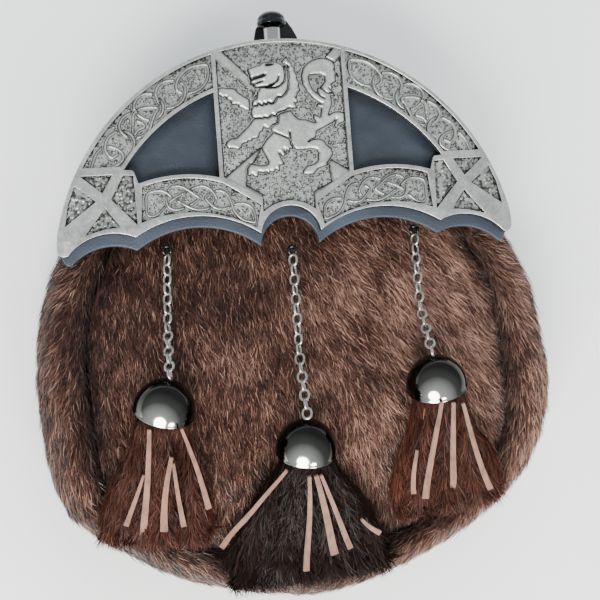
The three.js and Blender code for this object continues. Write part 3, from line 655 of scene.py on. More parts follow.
# ------------------------------------------------------------------ cast relief
class Relief:
    """A height field, in millimetres above the sunk floor, over the whole cantle."""

    def __init__(self, step, low=(-78, 3), high=(78, 71)):
        self.step = step
        self.x = np.arange(low[0], high[0] + step, step)
        self.y = np.arange(low[1], high[1] + step, step)
        self.shape = (len(self.y), len(self.x))
        self.height = np.zeros(self.shape)
        self.mask = np.zeros(self.shape, bool)
        self.ink = np.zeros(self.shape)
        self.ground = np.zeros(self.shape)
        self.rng = np.random.RandomState(11)

    def window(self, points, margin):
        """Slices of the grid that cover some points and a margin."""
        points = np.asarray(points)
        (x0, y0), (x1, y1) = points.min(0)[:2] - margin, points.max(0)[:2] + margin
        columns = slice(max(0, np.searchsorted(self.x, x0)), np.searchsorted(self.x, x1))
        rows = slice(max(0, np.searchsorted(self.y, y0)), np.searchsorted(self.y, y1))
        gx, gy = np.meshgrid(self.x[columns], self.y[rows])
        return (rows, columns), gx, gy

    def inside(self, outline, margin=0.0):
        """(window, signed distance) of an outline; the distance is positive inside it."""
        return self.inside_any([outline], margin)

    def inside_any(self, outlines, margin=0.0):
        """(window, signed distance) of several outlines taken as one."""
        outlines = [np.asarray(outline, float) for outline in outlines]
        part, gx, gy = self.window(np.vstack(outlines), margin + 0.5)
        return part, np.max([self.depth(gx, gy, outline) for outline in outlines], axis=0)

    def depth(self, gx, gy, outline):
        """Signed distance of places from an outline; positive inside it."""
        crossing = np.zeros(gx.shape, bool)
        nearest = np.full(gx.shape, 1e9)
        for (ax, ay), (bx, by) in zip(outline, np.roll(outline, -1, 0)):
            if ay != by:
                across = ((ay > gy) != (by > gy)) & (gx < (bx - ax) * (gy - ay) / (by - ay) + ax)
                crossing ^= across
            ex, ey = bx - ax, by - ay
            t = np.clip(((gx - ax) * ex + (gy - ay) * ey) / (ex * ex + ey * ey + 1e-12), 0, 1)
            nearest = np.minimum(nearest, np.hypot(gx - ax - t * ex, gy - ay - t * ey))
        return np.where(crossing, nearest, -nearest)

    def floor(self, outlines, pebble, rise):
        """Opens a sunk floor with a pebbled ground."""
        part, inner = self.inside_any(outlines, 1.0)
        cover = inner > -0.75
        self.mask[part] |= cover
        gx, gy = np.meshgrid(self.x[part[1]], self.y[part[0]])
        count = int(gx.size * self.step**2 / (pebble * pebble * 0.62)) + 4
        seeds_x = self.rng.uniform(gx.min(), gx.max(), count)
        seeds_y = self.rng.uniform(gy.min(), gy.max(), count)
        sizes = pebble * self.rng.uniform(0.38, 0.62, count)
        lifts = rise * self.rng.uniform(0.45, 1.0, count)
        ground = np.zeros(gx.shape)
        for sx, sy, size, lift in zip(seeds_x, seeds_y, sizes, lifts):
            i0, i1 = int((sx - size - gx[0, 0]) / self.step), int((sx + size - gx[0, 0]) / self.step) + 2
            j0, j1 = int((sy - size - gy[0, 0]) / self.step), int((sy + size - gy[0, 0]) / self.step) + 2
            here = (slice(max(j0, 0), max(j1, 0)), slice(max(i0, 0), max(i1, 0)))
            away = ((gx[here] - sx) ** 2 + (gy[here] - sy) ** 2) / size**2
            ground[here] = np.maximum(ground[here], lift * np.sqrt(np.clip(1 - away, 0, 1)))
        area = self.height[part]
        area[cover] = np.maximum(area[cover], ground[cover])
        self.ground[part][inner > 0] = 1.0 if pebble > 1.2 else 0.5
        self.ink[part] = np.maximum(self.ink[part], (np.abs(inner - 0.1) < 0.3) * 1.0)

    def deck(self, outline, level):
        """Covers an outline with a flat face at a level above the sunk floor."""
        part, inner = self.inside(outline, 1.0)
        cover = inner > -0.75
        self.mask[part] |= cover
        self.height[part][cover] = level

    def sink(self, outlines, edge=0.35):
        """Sinks some outlines back to the floor, with sloping sides."""
        part, inner = self.inside_any(outlines, 1.0)
        self.height[part] *= np.clip(1 - inner / edge, 0, 1)

    def raise_to(self, part, inner, top, shoulder, trench=0.0):
        """Raises what is inside to a rounded top, after cutting a trench round it."""
        area = self.height[part]
        if trench:
            near = (inner > -trench) & (inner <= 0)
            area[near] = np.minimum(area[near], 0.02)
        form = top * np.sqrt(np.clip(1 - (1 - np.clip(inner / shoulder, 0, 1)) ** 2, 0, 1))
        area[inner > 0] = form[inner > 0]
        self.ink[part][inner > 0.26] = 0
        self.ink[part][(inner > -trench) & (inner <= 0.26)] = 1.0
        self.ground[part][inner > -trench] = 0

    def reach(self, gx, gy, path, radii, tops):
        """How far inside a strand each place of a window is, and the strand's height there."""
        best = np.full(gx.shape, -1e9)
        level = np.zeros(gx.shape)
        margin = radii.max() + 1.0
        x0, y0 = gx[0, 0], gy[0, 0]
        for k in range(len(path) - 1):
            (ax, ay), (bx, by) = path[k], path[k + 1]
            i0 = int((min(ax, bx) - margin - x0) / self.step)
            i1 = int((max(ax, bx) + margin - x0) / self.step)
            j0 = int((min(ay, by) - margin - y0) / self.step)
            j1 = int((max(ay, by) + margin - y0) / self.step)
            here = (slice(max(j0, 0), max(j1 + 2, 0)), slice(max(i0, 0), max(i1 + 2, 0)))
            px, py = gx[here], gy[here]
            ex, ey = bx - ax, by - ay
            t = np.clip(((px - ax) * ex + (py - ay) * ey) / (ex * ex + ey * ey + 1e-12), 0, 1)
            inner = radii[k] + (radii[k + 1] - radii[k]) * t - np.hypot(px - ax - t * ex, py - ay - t * ey)
            closer = inner > best[here]
            best[here] = np.where(closer, inner, best[here])
            level[here] = np.where(closer, tops[k] + (tops[k + 1] - tops[k]) * t, level[here])
        return best, level

    def stroke(self, path, radii, tops, trench=0.0, shoulder=None, whole=None):
        """A raised strand along a path, with a radius and a height at each point and a dark line beside it.

        whole is a longer stretch of the same strand, which the line must not cross.
        """
        path = np.asarray(path, float)
        radii = np.broadcast_to(np.asarray(radii, float), (len(path),))
        tops = np.broadcast_to(np.asarray(tops, float), (len(path),))
        part, gx, gy = self.window(path, radii.max() + trench + 0.5)
        best, level = self.reach(gx, gy, path, radii, tops)
        wide = float(shoulder or radii.max())
        form = level * np.sqrt(np.clip(1 - (1 - np.clip(best / wide, 0, 1)) ** 2, 0, 1))
        area = self.height[part]
        near = (best > -trench) & (best <= 0.16)
        if whole is not None:
            own, _ = self.reach(gx, gy, whole, np.full(len(whole), radii.max()), np.zeros(len(whole)))
            near &= own <= 0.16
        area[near & (best <= 0.1)] = 0.02
        self.ink[part][near] = 1.0
        area[best > 0.1] = form[best > 0.1]
        self.ink[part][best > 0.16] = 0
        self.ground[part][best > -trench] = 0

    def weave(self, loops, radius, low, high):
        """Interlaced closed strands: each passes over and under the others in turn."""
        events = [[] for _ in loops]
        for i, first in enumerate(loops):
            for j in range(i, len(loops)):
                for a, b in crossings(first, loops[j], i == j):
                    tag = len(events[i]) + len(events[j]) * 1000 + i * 10**6 + j * 10**7
                    events[i].append((a, tag))
                    events[j].append((b, tag))
        phase = alternate(events)
        runs = []
        for k, loop in enumerate(loops):
            turns = sorted(events[k])
            sites = np.array([a for a, _ in turns])
            signs = np.array([phase[k] * (-1) ** n for n in range(len(turns))], float)
            u = np.arange(len(loop) + 1, dtype=float)
            lift = cyclic_blend(u, sites, signs, len(loop)) if len(sites) else np.zeros(len(u))
            tops = low + (high - low) * (0.5 + 0.5 * lift)
            size = len(loop)
            upper = tops[:-1] > (low + high) / 2
            starts = [n for n in range(size) if upper[n] != upper[n - 1]] or [0]
            for wanted in (False, True):
                for first, last in zip(starts, starts[1:] + [starts[0] + size]):
                    if upper[first % size] == wanted:
                        runs.append((wanted, k, first, last, tops))
        for wanted, k, first, last, tops in sorted(runs, key=lambda run: run[0]):
            loop = loops[k]
            run = np.arange(first, last + 1) % len(loop)
            longer = np.arange(first - 9, last + 10) % len(loop)
            self.stroke(loop[run], radius, tops[run], 0.34, None, loop[longer])

    def groove(self, path, half, depth):
        """Cuts a line into what is raised."""
        part, gx, gy = self.window(path, half + 0.3)
        nearest = np.full(gx.shape, 1e9)
        for (ax, ay), (bx, by) in zip(path, path[1:]):
            ex, ey = bx - ax, by - ay
            t = np.clip(((gx - ax) * ex + (gy - ay) * ey) / (ex * ex + ey * ey + 1e-12), 0, 1)
            nearest = np.minimum(nearest, np.hypot(gx - ax - t * ex, gy - ay - t * ey))
        cut = depth * np.clip(1 - nearest / half, 0, 1) ** 0.7
        self.height[part] = np.maximum(0.0, self.height[part] - cut)
        self.ink[part] = np.maximum(self.ink[part], nearest < half * 0.75)

    def tint(self):
        """Brighter on raised work, partly wear and partly painted highlight, a little darker in hollows, and
        dark in the patina lines round raised work.
        """
        wide = smoothed(self.height, int(0.9 / self.step))
        hollow = np.clip((wide - self.height) * 1.2, 0, 1)
        # Painted highlight, partly wear: the higher a place stands, the brighter it is painted.
        wear_and_painted_highlight = np.clip(self.height / 1.15, 0, 1.2) ** 1.4
        tone = 0.46 + 0.84 * wear_and_painted_highlight - 0.16 * hollow
        line = np.clip(smoothed(self.ink, 1) * 1.25, 0, 1)
        return np.clip(tone * (1 - 0.95 * line), 0.02, 1.45)

    def piece(self, name, base, material):
        """A mesh over the masked part of the grid."""
        cells = self.mask[:-1, :-1] & self.mask[1:, :-1] & self.mask[:-1, 1:] & self.mask[1:, 1:]
        rows, columns = np.nonzero(cells)
        across = self.shape[1]
        corner = rows * across + columns
        fours = np.stack([corner, corner + 1, corner + across + 1, corner + across], axis=1)
        used, index = np.unique(fours, return_inverse=True)
        gx, gy = np.meshgrid(self.x, self.y)
        points = np.stack([gx.ravel(), gy.ravel(), base + self.height.ravel()], axis=1)[used]
        tone = self.tint().ravel()[used]
        colours = np.stack([tone, tone * 0.995, tone * 0.975], axis=1)
        made = mesh_piece(name, points, [index.reshape(-1, 4)], material, colours)
        layer = made.data.attributes.new("ground", "FLOAT", "POINT")
        layer.data.foreach_set("value", smoothed(self.ground, 1).ravel()[used])
        return made


def smoothed(field, reach):
    """Box blur, twice, with reach in cells."""
    reach = max(1, reach)
    for _ in range(2):
        for axis in (0, 1):
            padded = np.pad(field, [(reach + 1, reach) if a == axis else (0, 0) for a in (0, 1)], mode="edge")
            total = np.cumsum(padded, axis=axis)
            size = 2 * reach + 1
            if axis == 0:
                field = (total[size:] - total[:-size]) / size
            else:
                field = (total[:, size:] - total[:, :-size]) / size
    return field


def crossings(first, second, same):
    """Positions along two closed polylines where they cross."""
    a0, a1 = first, np.roll(first, -1, 0)
    b0, b1 = second, np.roll(second, -1, 0)
    found = []
    for i in range(len(first)):
        r = a1[i] - a0[i]
        s = b1 - b0
        den = r[0] * s[:, 1] - r[1] * s[:, 0]
        den = np.where(np.abs(den) < 1e-12, 1e-12, den)
        q = b0 - a0[i]
        t = (q[:, 0] * s[:, 1] - q[:, 1] * s[:, 0]) / den
        u = (q[:, 0] * r[1] - q[:, 1] * r[0]) / den
        for j in np.nonzero((t >= 0) & (t < 1) & (u >= 0) & (u < 1))[0]:
            if same and (j <= i + 1 or (i == 0 and j == len(second) - 1)):
                continue
            found.append((i + t[j], j + u[j]))
    return found


def alternate(events):
    """A starting sign for each strand so that crossings alternate along every strand."""
    phase = [1] + [0] * (len(events) - 1)
    for _ in events:
        for i, mine in enumerate(events):
            if not phase[i]:
                continue
            for n, (_, tag) in enumerate(sorted(mine)):
                for j, theirs in enumerate(events):
                    if phase[j]:
                        continue
                    for m, (_, other) in enumerate(sorted(theirs)):
                        if other == tag and not phase[j]:
                            phase[j] = -phase[i] * (-1) ** (n + m)
    return [p or 1 for p in phase]


def cyclic_blend(u, sites, signs, period):
    """Eases from sign to sign between neighbouring sites round a closed strand."""
    sites = np.concatenate([[sites[-1] - period], sites, [sites[0] + period]])
    signs = np.concatenate([[signs[-1]], signs, [signs[0]]])
    k = np.clip(np.searchsorted(sites, u, side="right") - 1, 0, len(sites) - 2)
    t = np.clip((u - sites[k]) / np.maximum(sites[k + 1] - sites[k], 1e-6), 0, 1)
    ease = t * t * (3 - 2 * t)
    return signs[k] * (1 - ease) + signs[k + 1] * ease


# Closed strands of the knots in the left bands: places in millimetres on the cantle.
LOWER_KNOTS = (
    [(-48, 16.1), (-47.9, 18.4), (-47, 19.9), (-45, 20.5), (-42.7, 20.5), (-40.9, 19.6), (-38.9, 17.9),
     (-36.8, 16.5), (-34.8, 15.1), (-32.5, 13.9), (-30, 13.5), (-27.4, 13.9), (-25.5, 15.1),
     (-24.6, 16.8), (-25.2, 18.6), (-26.5, 20.2), (-28.3, 21.3), (-30.5, 21.3), (-33, 20.4),
     (-35.5, 19.2), (-38.1, 17.9), (-40.4, 16.5), (-42.5, 14.4), (-44.5, 12.6), (-46.4, 12.2),
     (-47.6, 12.7), (-48.1, 14.3)],
    [(-41.3, 17.2), (-40.9, 19.5), (-39.8, 21.3), (-37.5, 21.9), (-35.2, 21.2), (-33.2, 19.8),
     (-31.6, 18.5), (-30.3, 17.4), (-31.8, 16.2), (-33.9, 15.1), (-36.4, 14.1), (-38.9, 14),
     (-40.7, 15.1)],
    [(-28.2, 17.4), (-26.7, 18.8), (-25, 19.5), (-23.1, 19.6), (-21.3, 18.7), (-20.2, 16.9),
     (-19.6, 15.1), (-19.1, 13.1), (-18.1, 11.3), (-16.3, 9.5), (-14.2, 8.7), (-12.1, 8.3),
     (-11.9, 10.6), (-12.5, 12.9), (-14.1, 14.4), (-16.3, 15), (-18.4, 14.8), (-20.5, 13.9),
     (-22.7, 13.4), (-24.9, 13.7), (-26.7, 15.3)],
)
UPPER_KNOTS = (
    [(-24.6, 62.1), (-27.6, 62.1), (-30.3, 61.4), (-32.8, 59.7), (-34.7, 57.4), (-35.3, 55.5),
     (-34.9, 53.9), (-33.1, 53.1), (-30.6, 53.1), (-28, 53.8), (-25.6, 55.8), (-24.3, 58.7)],
    [(-42.3, 53.4), (-41.2, 55.8), (-38.7, 57.3), (-35.9, 57.4), (-33.7, 56.6), (-32.4, 54.7),
     (-32.7, 51.9), (-34.2, 49.7), (-37, 48.3), (-39.8, 48.4), (-41.4, 49.9), (-42.1, 51.9)],
    [(-49.8, 49.1), (-48.7, 51.6), (-46.2, 53.2), (-43.4, 53.1), (-41.3, 51.4), (-40.1, 49.1),
     (-40.6, 46.6), (-42.4, 44.9), (-44.8, 44.4), (-47.3, 45.2), (-49.1, 46.9)],
    [(-50.4, 43.6), (-50.1, 46.3), (-48.1, 48.1), (-45.6, 48.6), (-42, 48.2), (-43.1, 46.1),
     (-44.3, 43.3), (-45.3, 40.8), (-47.6, 39.1), (-49.7, 38.9), (-50.6, 40.8)],
    [(-55.1, 42.2), (-54.3, 44.7), (-52.6, 46.3), (-50.4, 47), (-49.7, 44.7), (-47.6, 43.6),
     (-46.7, 42.2), (-48.7, 41.3), (-50.6, 39.4), (-53.4, 39.6)],
    [(-60.1, 36.1), (-59.1, 38.8), (-56.7, 40.7), (-53.9, 41.1), (-51.4, 39.7), (-50.4, 37.2),
     (-51.2, 34.4), (-53.4, 32.4), (-55.3, 33.7), (-58.1, 32.4), (-59.7, 34)],
    [(-64.9, 28.4), (-64.2, 31.6), (-62.7, 34.4), (-60.6, 36.1), (-57.8, 35.9), (-55.3, 34.4),
     (-54.3, 32.2), (-55.9, 30.2), (-58.7, 28.9), (-61.7, 28.2)],
)


def knot(loops, side):
    """The strands of one band's knot: the right band mirrors the left one."""
    return [np.array(blended(loop, 6, closed=True)) * (-side, 1) for loop in loops]


# The lion, facing left. Rows are places in millimetres on the cantle; each part has a height and an outline.
LION_PARTS = {
    "left_leg": (1.25, [
        (-3.6, 38.5), (-1.5, 37.6), (1.9, 36), (2.1, 34.2), (3.1, 32.5), (1.7, 32.7), (1.7, 31),
        (0.7, 32.3), (0.5, 30.5), (-0.5, 32.6), (0.1, 30.6), (-1, 30), (-2.3, 31.5), (-1.5, 29.5),
        (-0.4, 27.4), (-2.2, 27.2), (-2.4, 25), (-3.6, 25.8), (-4.4, 24.8), (-5.5, 25.2), (-6.1, 24.3),
        (-6.9, 25.1), (-8.1, 24.8), (-9.5, 25.2), (-9.9, 23.5), (-11.2, 23.7), (-11.9, 24.5),
        (-12.7, 23.9), (-13.5, 24.5), (-13.4, 26.4), (-12.2, 28.2), (-10.6, 27.8), (-8.4, 27.3),
        (-6.3, 27.6), (-6, 28.5), (-6.8, 30.5), (-7.9, 32.7), (-8.1, 33.5), (-6.1, 36.2),
    ]),
    "low_foreleg": (1.2, [
        (-10, 43.4), (-11.1, 41.9), (-12.9, 40.1), (-14.7, 38.5), (-16.3, 37.1), (-18.4, 36.9),
        (-19.7, 35.9), (-20.2, 34.9), (-19.3, 33.6), (-17.5, 33.5), (-15.9, 33), (-14.6, 33.8),
        (-14.4, 34.9), (-13.4, 35.3), (-12.5, 35.3), (-12.2, 35.9), (-11.1, 35.9), (-10.8, 36.5),
        (-8.7, 36.8), (-8.1, 38.6), (-7.2, 39), (-6.6, 40.5), (-6.1, 39.8), (-4.7, 39.8), (-3.5, 41),
        (-2, 41.6), (-1.4, 44.6), (-3.8, 44.1),
    ]),
    "high_foreleg": (1.2, [
        (-21.6, 54), (-20.2, 54.4), (-18.4, 54.1), (-16.5, 54.1), (-15.5, 53.7), (-14.5, 52.4),
        (-12.9, 51.2), (-11, 50.1), (-10.8, 47.8), (-11, 46.2), (-12.3, 46.2), (-13.5, 47),
        (-14.7, 47.4), (-15, 48.3), (-17, 48.4), (-17.5, 49.8), (-18.6, 50.3), (-18.9, 51.1),
        (-20.2, 50.9), (-20.9, 51.7), (-21.6, 51.8),
    ]),
    "mane": (1.35, [
        (2.8, 64.3), (3.3, 62.8), (4.5, 61.8), (4.5, 60.9), (5.5, 60.2), (5.2, 59.1), (6, 57.6),
        (5.8, 56.4), (6.6, 55), (6.2, 53.8), (6.8, 52.5), (5.7, 51.4), (5.4, 50.1), (5.6, 48),
        (4.4, 48.3), (5.4, 46.5), (3.7, 46.2), (2.3, 46.5), (1.3, 45.8), (-0.1, 45.5), (-1.5, 45.1),
        (-2.4, 43.9), (-3.6, 44.4), (-5.1, 43.3), (-6.2, 43.7), (-7, 43.3), (-8.4, 43.5), (-9.3, 43.3),
        (-10.4, 43.8), (-10.9, 45.1), (-10.3, 47.5), (-8.4, 52.4), (0.7, 62.5),
    ]),
    "ruff": (1.55, [
        (0.6, 62.4), (2.4, 61.1), (3, 58.7), (2.8, 55.5), (2.4, 52.8), (1.3, 51.3), (0.2, 50.3),
        (-1.3, 50.4), (-2, 49.5), (-2.6, 48.5), (-3.7, 48.1), (-4.5, 48.7), (-5.3, 47.9), (-6.1, 48.5),
        (-6.5, 47.6), (-7.4, 47.9), (-7.9, 48.5), (-8.5, 47.6), (-9.4, 47.7), (-10.3, 47.5),
        (-10.1, 48.5), (-9.9, 49.7), (-8.5, 50.1), (-8.1, 52.4), (-7.4, 53), (-8.4, 54.1),
    ]),
    "head": (1.75, [
        (-11, 60.2), (-10.1, 60.6), (-8.4, 61.1), (-6.6, 61.6), (-5.8, 62.3), (-3.8, 62.5), (-2, 62.6),
        (-0.2, 62.2), (1.1, 61.3), (1.7, 59.6), (1.8, 57.4), (1.3, 55.5), (-0.2, 54.1), (-2, 53.5),
        (-3.8, 53.6), (-6.5, 53.7), (-8.5, 53.6), (-9.1, 54.5), (-10.1, 55.2), (-10.4, 56.7),
        (-10.5, 58.5),
    ]),
}
LION_TRUNK = (
    [
        (-2, 41.7), (-1.5, 44.6), (2.8, 45.8), (4, 44.1), (5.5, 42.6), (8, 42.3), (10.8, 41.2),
        (13.9, 42.4), (16.1, 41.8), (14.4, 39.9), (11.4, 38.2), (11, 36.2), (9.7, 35.5), (12.3, 35.6),
        (13.9, 34.6), (14.5, 33.5), (16.1, 32), (16.5, 30.1), (15.4, 28.5), (14.2, 27.1), (14.4, 26.4),
        (12.5, 25.9), (10.7, 25.2), (9.5, 23.6), (7.1, 23.4), (5.4, 23.8), (5.8, 25.3), (7.1, 26.5),
        (9.8, 27.1), (11.1, 28.3), (11, 29.6), (11.4, 30.8), (10.7, 31.9), (8.9, 32.3), (6.2, 32),
        (4.1, 32), (2.9, 32.6), (2.1, 34.2), (-1.5, 36.9), (-4, 38.7), (-4.5, 39.8), (-3.6, 41),
    ],
    [
        (9.4, 40.1), (11.4, 41), (10.4, 42.9), (10.8, 44.2), (13, 43.1), (13.5, 46), (11.9, 46.7),
        (12.2, 47.7), (13.9, 47.5), (12.5, 48.2), (10.7, 49.7), (8.9, 52), (7.6, 54.6), (7.3, 57.4),
        (8.2, 60.1), (9.8, 61.7), (11.9, 62.8), (14.4, 63.4), (16.6, 63.1), (18.5, 62.1), (19.5, 60.5),
        (19.3, 59.1), (20.6, 56.6), (19.4, 56.9), (19.5, 55.1), (17.6, 54), (18.2, 53), (17.4, 52.3),
        (18.3, 51.2), (18.7, 49.9), (17.2, 50.2), (17.5, 47.8), (16.9, 46), (15.9, 43.6), (17.5, 44.5),
        (19.5, 44.7), (21.5, 44.2), (21.5, 41.1), (19.6, 40.5), (18.1, 38.8), (17.6, 40), (18.3, 42),
        (17.5, 41.1), (15.3, 40), (13.5, 39.2), (11.4, 38.2), (10.7, 36.9), (8.5, 36.9),
    ],
)
LION_TAIL_GAP = [
    (10, 56.7), (10.5, 57.5), (11.7, 57.6), (13.9, 57.7), (15.3, 56.9), (15.5, 55.4), (14.4, 53.9),
    (13.4, 53.1), (12.4, 53), (12.1, 51.5), (11.2, 52.5), (10.3, 54.4),
]
# Lines cut into the lion: half width, then places.
LION_GROOVES = (
    (0.45, [(-9.8, 54.9), (-7.9, 55.3), (-5.9, 55.9)]),
    (0.85, [(-10.1, 56.6), (-8.4, 57.1), (-6.5, 57.6), (-5.3, 58)]),
    (0.6, [(-4.5, 61.3), (-3.4, 61.4), (-2.3, 61.6)]),
    (0.7, [(-0.1, 62.1), (1.5, 61.5), (2.9, 60.6)]),
    (0.4, [(-8.5, 53.8), (-6.3, 53.9), (-3.8, 54.1), (-2.2, 54.8)]),
    (0.4, [(-3.8, 54.5), (-2, 55.1), (-0.9, 56), (-0.5, 57.5)]),
    (0.4, [(1.9, 38.5), (2.1, 36.9), (2, 35.8)]),
    (0.35, [(13.5, 52.9), (14.4, 52.5), (15.8, 51.2), (17.9, 51.1)]),
    (0.35, [(12.4, 52.9), (12.6, 51.4), (13.7, 50), (14.9, 49.4)]),
    (0.3, [(5.3, 49.6), (4.6, 50.3)]),
    (0.35, [(9.6, 35.5), (8, 34.6)]),
    (0.3, [(18.8, 59.2), (19.5, 57.9), (19.2, 56.9)]),
    (0.3, [(17.2, 52.4), (16.6, 53)]),
)


def carve_lion(relief):
    """Raises the lion's parts one over another, then cuts its lines."""
    part, inner = relief.inside_any(LION_TRUNK, 0.8)
    gap_part, gap = relief.inside_any([LION_TAIL_GAP], 0.8)
    hollow = np.full(relief.shape, -9.0)
    hollow[gap_part] = gap
    inner = np.minimum(inner, -hollow[part])
    relief.raise_to(part, inner, 1.15, 1.5, 0.4)
    for top, outline in LION_PARTS.values():
        part, inner = relief.inside_any([outline], 0.8)
        relief.raise_to(part, inner, top, 1.3, 0.4)
    for half, line in LION_GROOVES:
        relief.groove(np.array(blended(line, 4)), half, 1.0)


# ------------------------------------------------------------------ hair
def strands(name, roots, flow, normal, lengths, widths, lift, colours, material, seed, curl=0.25):
    """Tapered hairs of three faces each. lift is the angle from the skin, colours one RGB row per hair."""
    rng = np.random.RandomState(seed)
    count = len(roots)
    lengths, widths, lift = (np.asarray(v, float).reshape(-1, 1) for v in (lengths, widths, lift))
    side = np.cross(flow, normal)
    side /= np.maximum(np.linalg.norm(side, axis=1), 1e-9)[:, None]
    wander = rng.normal(0, curl, (count, 1))
    first = flow * np.cos(lift) + normal * np.sin(lift)
    second = flow * np.cos(lift * 0.25) + normal * np.sin(lift * 0.25) + side * wander
    second /= np.linalg.norm(second, axis=1)[:, None]
    roll = rng.uniform(-0.9, 0.9, (count, 1))
    blade = side * np.cos(roll) + normal * np.sin(roll)
    middle = roots + first * lengths * 0.48
    tip = middle + second * lengths * 0.52
    half = blade * widths / 2
    points = np.stack([roots - half * 0.8, roots + half * 0.8, middle + half, middle - half, tip], axis=1)
    points[:, :, 2] = np.maximum(points[:, :, 2], 0.15)
    base = np.arange(count)[:, None] * 5
    fours = base + np.array([[0, 1, 2, 3]])
    threes = base + np.array([[3, 2, 4]])
    # Painted shade: each hair is darker towards its root, as deep in the fur, and lighter at its tip.
    tones = np.array([0.35, 0.35, 0.95, 0.95, 1.25])[None, :, None]
    tints = np.clip(colours[:, None, :] * tones, 0, 1)
    return mesh_piece(name, points.reshape(-1, 3), [fours, threes], material, tints.reshape(-1, 3))


def scattered(triangles, count, seed):
    """Random places on loose triangles, with smooth normals."""
    rng = np.random.RandomState(seed)
    _, faces, normals = merged(triangles)
    sides = triangles[:, 1:] - triangles[:, :1]
    area = np.linalg.norm(np.cross(sides[:, 0], sides[:, 1]), axis=1)
    pick = rng.choice(len(triangles), count, p=area / area.sum())
    a, b = rng.uniform(size=count), rng.uniform(size=count)
    fold = a + b > 1
    a[fold], b[fold] = 1 - a[fold], 1 - b[fold]
    weights = np.stack([1 - a - b, a, b], axis=1)[:, :, None]
    places = (triangles[pick] * weights).sum(1)
    normal = (normals[faces[pick]] * weights).sum(1)
    normal /= np.maximum(np.linalg.norm(normal, axis=1), 1e-9)[:, None]
    return places, normal


def field(places, scale, seed):
    """Smooth noise from -1 to 1 at each place; scale is its feature size in millimetres."""
    return np.array([noise.noise(Vector((x / scale + seed, y / scale - seed, z / scale)))
                     for x, y, z in places])


def combed(direction, normal):
    """A direction laid into the surface."""
    direction = direction - normal * (direction * normal).sum(1)[:, None]
    return direction / np.maximum(np.linalg.norm(direction, axis=1), 1e-9)[:, None]


def turned_by(direction, angle):
    """Turns directions about the Z axis."""
    c, s = np.cos(angle), np.sin(angle)
    x, y, z = direction.T
    return np.stack([x * c - y * s, x * s + y * c, z], axis=1)


# ------------------------------------------------------------------ drops
def bell_pose(drop):
    """Axis and rim centre of a bell that rests on the fur."""
    tilt, turn = math.radians(BELL_TILT), math.radians(drop["turn"])
    axis = Vector((math.sin(turn) * math.cos(tilt), math.cos(turn) * math.cos(tilt), math.sin(tilt)))
    x, y = drop["bell"]
    facing = Vector((0, 1, 0)).rotation_difference(axis)
    lifts = []
    for rise in (-0.6, 2.5, 5.0):
        for step in range(24):
            t = 2 * math.pi * step / 24
            radius = math.sqrt(BELL_RADIUS**2 - rise**2)
            p = facing @ Vector((radius * math.cos(t), rise, radius * math.sin(t)))
            lifts.append(fur_height(x + p.x, y + p.y) - p.z)
    return axis, Vector((x, y, max(lifts) + 0.3))


def chain_route(drop):
    """The chain's centre line, from the fur at its anchor to the bell's crown."""
    axis, centre = bell_pose(drop)
    crown = centre + axis * (BELL_RADIUS + 1.2)
    start = Vector((*drop["anchor"], 0))
    steps = 10
    rows = []
    for i in range(steps):
        p = start.lerp(crown, i / steps)
        ease = min(1.0, max(0.0, (i / steps - 0.55) / 0.55))
        ease = ease * ease * (3 - 2 * ease)
        resting = fur_height(p.x, p.y) + CHAIN_CLEARANCE
        rows.append((p.x, p.y, resting + (crown.z - resting) * ease))
    return blended(rows + [tuple(crown)], 12)


def along(path, distances):
    """Places and directions at distances along a path."""
    steps = np.linalg.norm(np.diff(path, axis=0), axis=1)
    total = np.concatenate([[0], np.cumsum(steps)])
    places = np.stack([np.interp(distances, total, path[:, k]) for k in range(3)], axis=1)
    ahead = np.stack([np.interp(distances + 0.6, total, path[:, k]) for k in range(3)], axis=1)
    behind = np.stack([np.interp(distances - 0.6, total, path[:, k]) for k in range(3)], axis=1)
    return places, ahead - behind, total[-1]


def oval_link(centre, direction, roll, length, width, wire):
    """One link: two straight sides and two round ends, bent from round wire."""
    straight = (length - width) / 2
    radius = (width - wire) / 2
    path = []
    for end, first in ((1, 0.0), (-1, math.pi)):
        for step in range(7):
            t = first + math.pi * step / 6
            path.append((radius * math.cos(t), end * straight + radius * math.sin(t), 0))
    turn = Vector((0, 1, 0)).rotation_difference(Vector(direction).normalized())
    turn = (Matrix.Rotation(roll, 3, Vector(direction).normalized()) @ turn.to_matrix())
    points, fours, threes = sweep(np.array(path), wire / 2, 9, closed=True)
    return points @ np.array(turn).T + np.array(centre), fours, threes


def fan_frame(drop):
    """Directions down and across a tassel's fan."""
    swing = math.radians(drop["swing"])
    return np.array([math.sin(swing), -math.cos(swing), 0]), np.array([math.cos(swing), math.sin(swing), 0])


# ------------------------------------------------------------------ settings
def colour_setting(name, description, default):
    return FloatVectorProperty(name=name, description=description, default=default, size=3, min=0, max=1,
                               subtype="COLOR")


def length_setting(name, description, millimetres):
    return FloatProperty(name=name, description=description, default=millimetres * MM, min=0,
                         unit="LENGTH", subtype="DISTANCE", precision=5)


def count_setting(name, description, default):
    return IntProperty(name=name, description=description, default=default, min=100, subtype="UNSIGNED")


class CantleSettings(bpy.types.PropertyGroup):
    relief_step: length_setting("Relief step", "Distance between points of the cast relief", 0.25)
    strand_radius: length_setting("Strand radius", "Half width of a knot's strand", 0.62)
    edge_bevel: length_setting("Edge bevel", "Rounding of the frame's edges", 0.28)
    metal: colour_setting("Metal", "Colour of the cast metal where it is worn", (0.58, 0.59, 0.57))
    leather: colour_setting("Leather", "Colour of the flap's leather", (0.039, 0.051, 0.071))


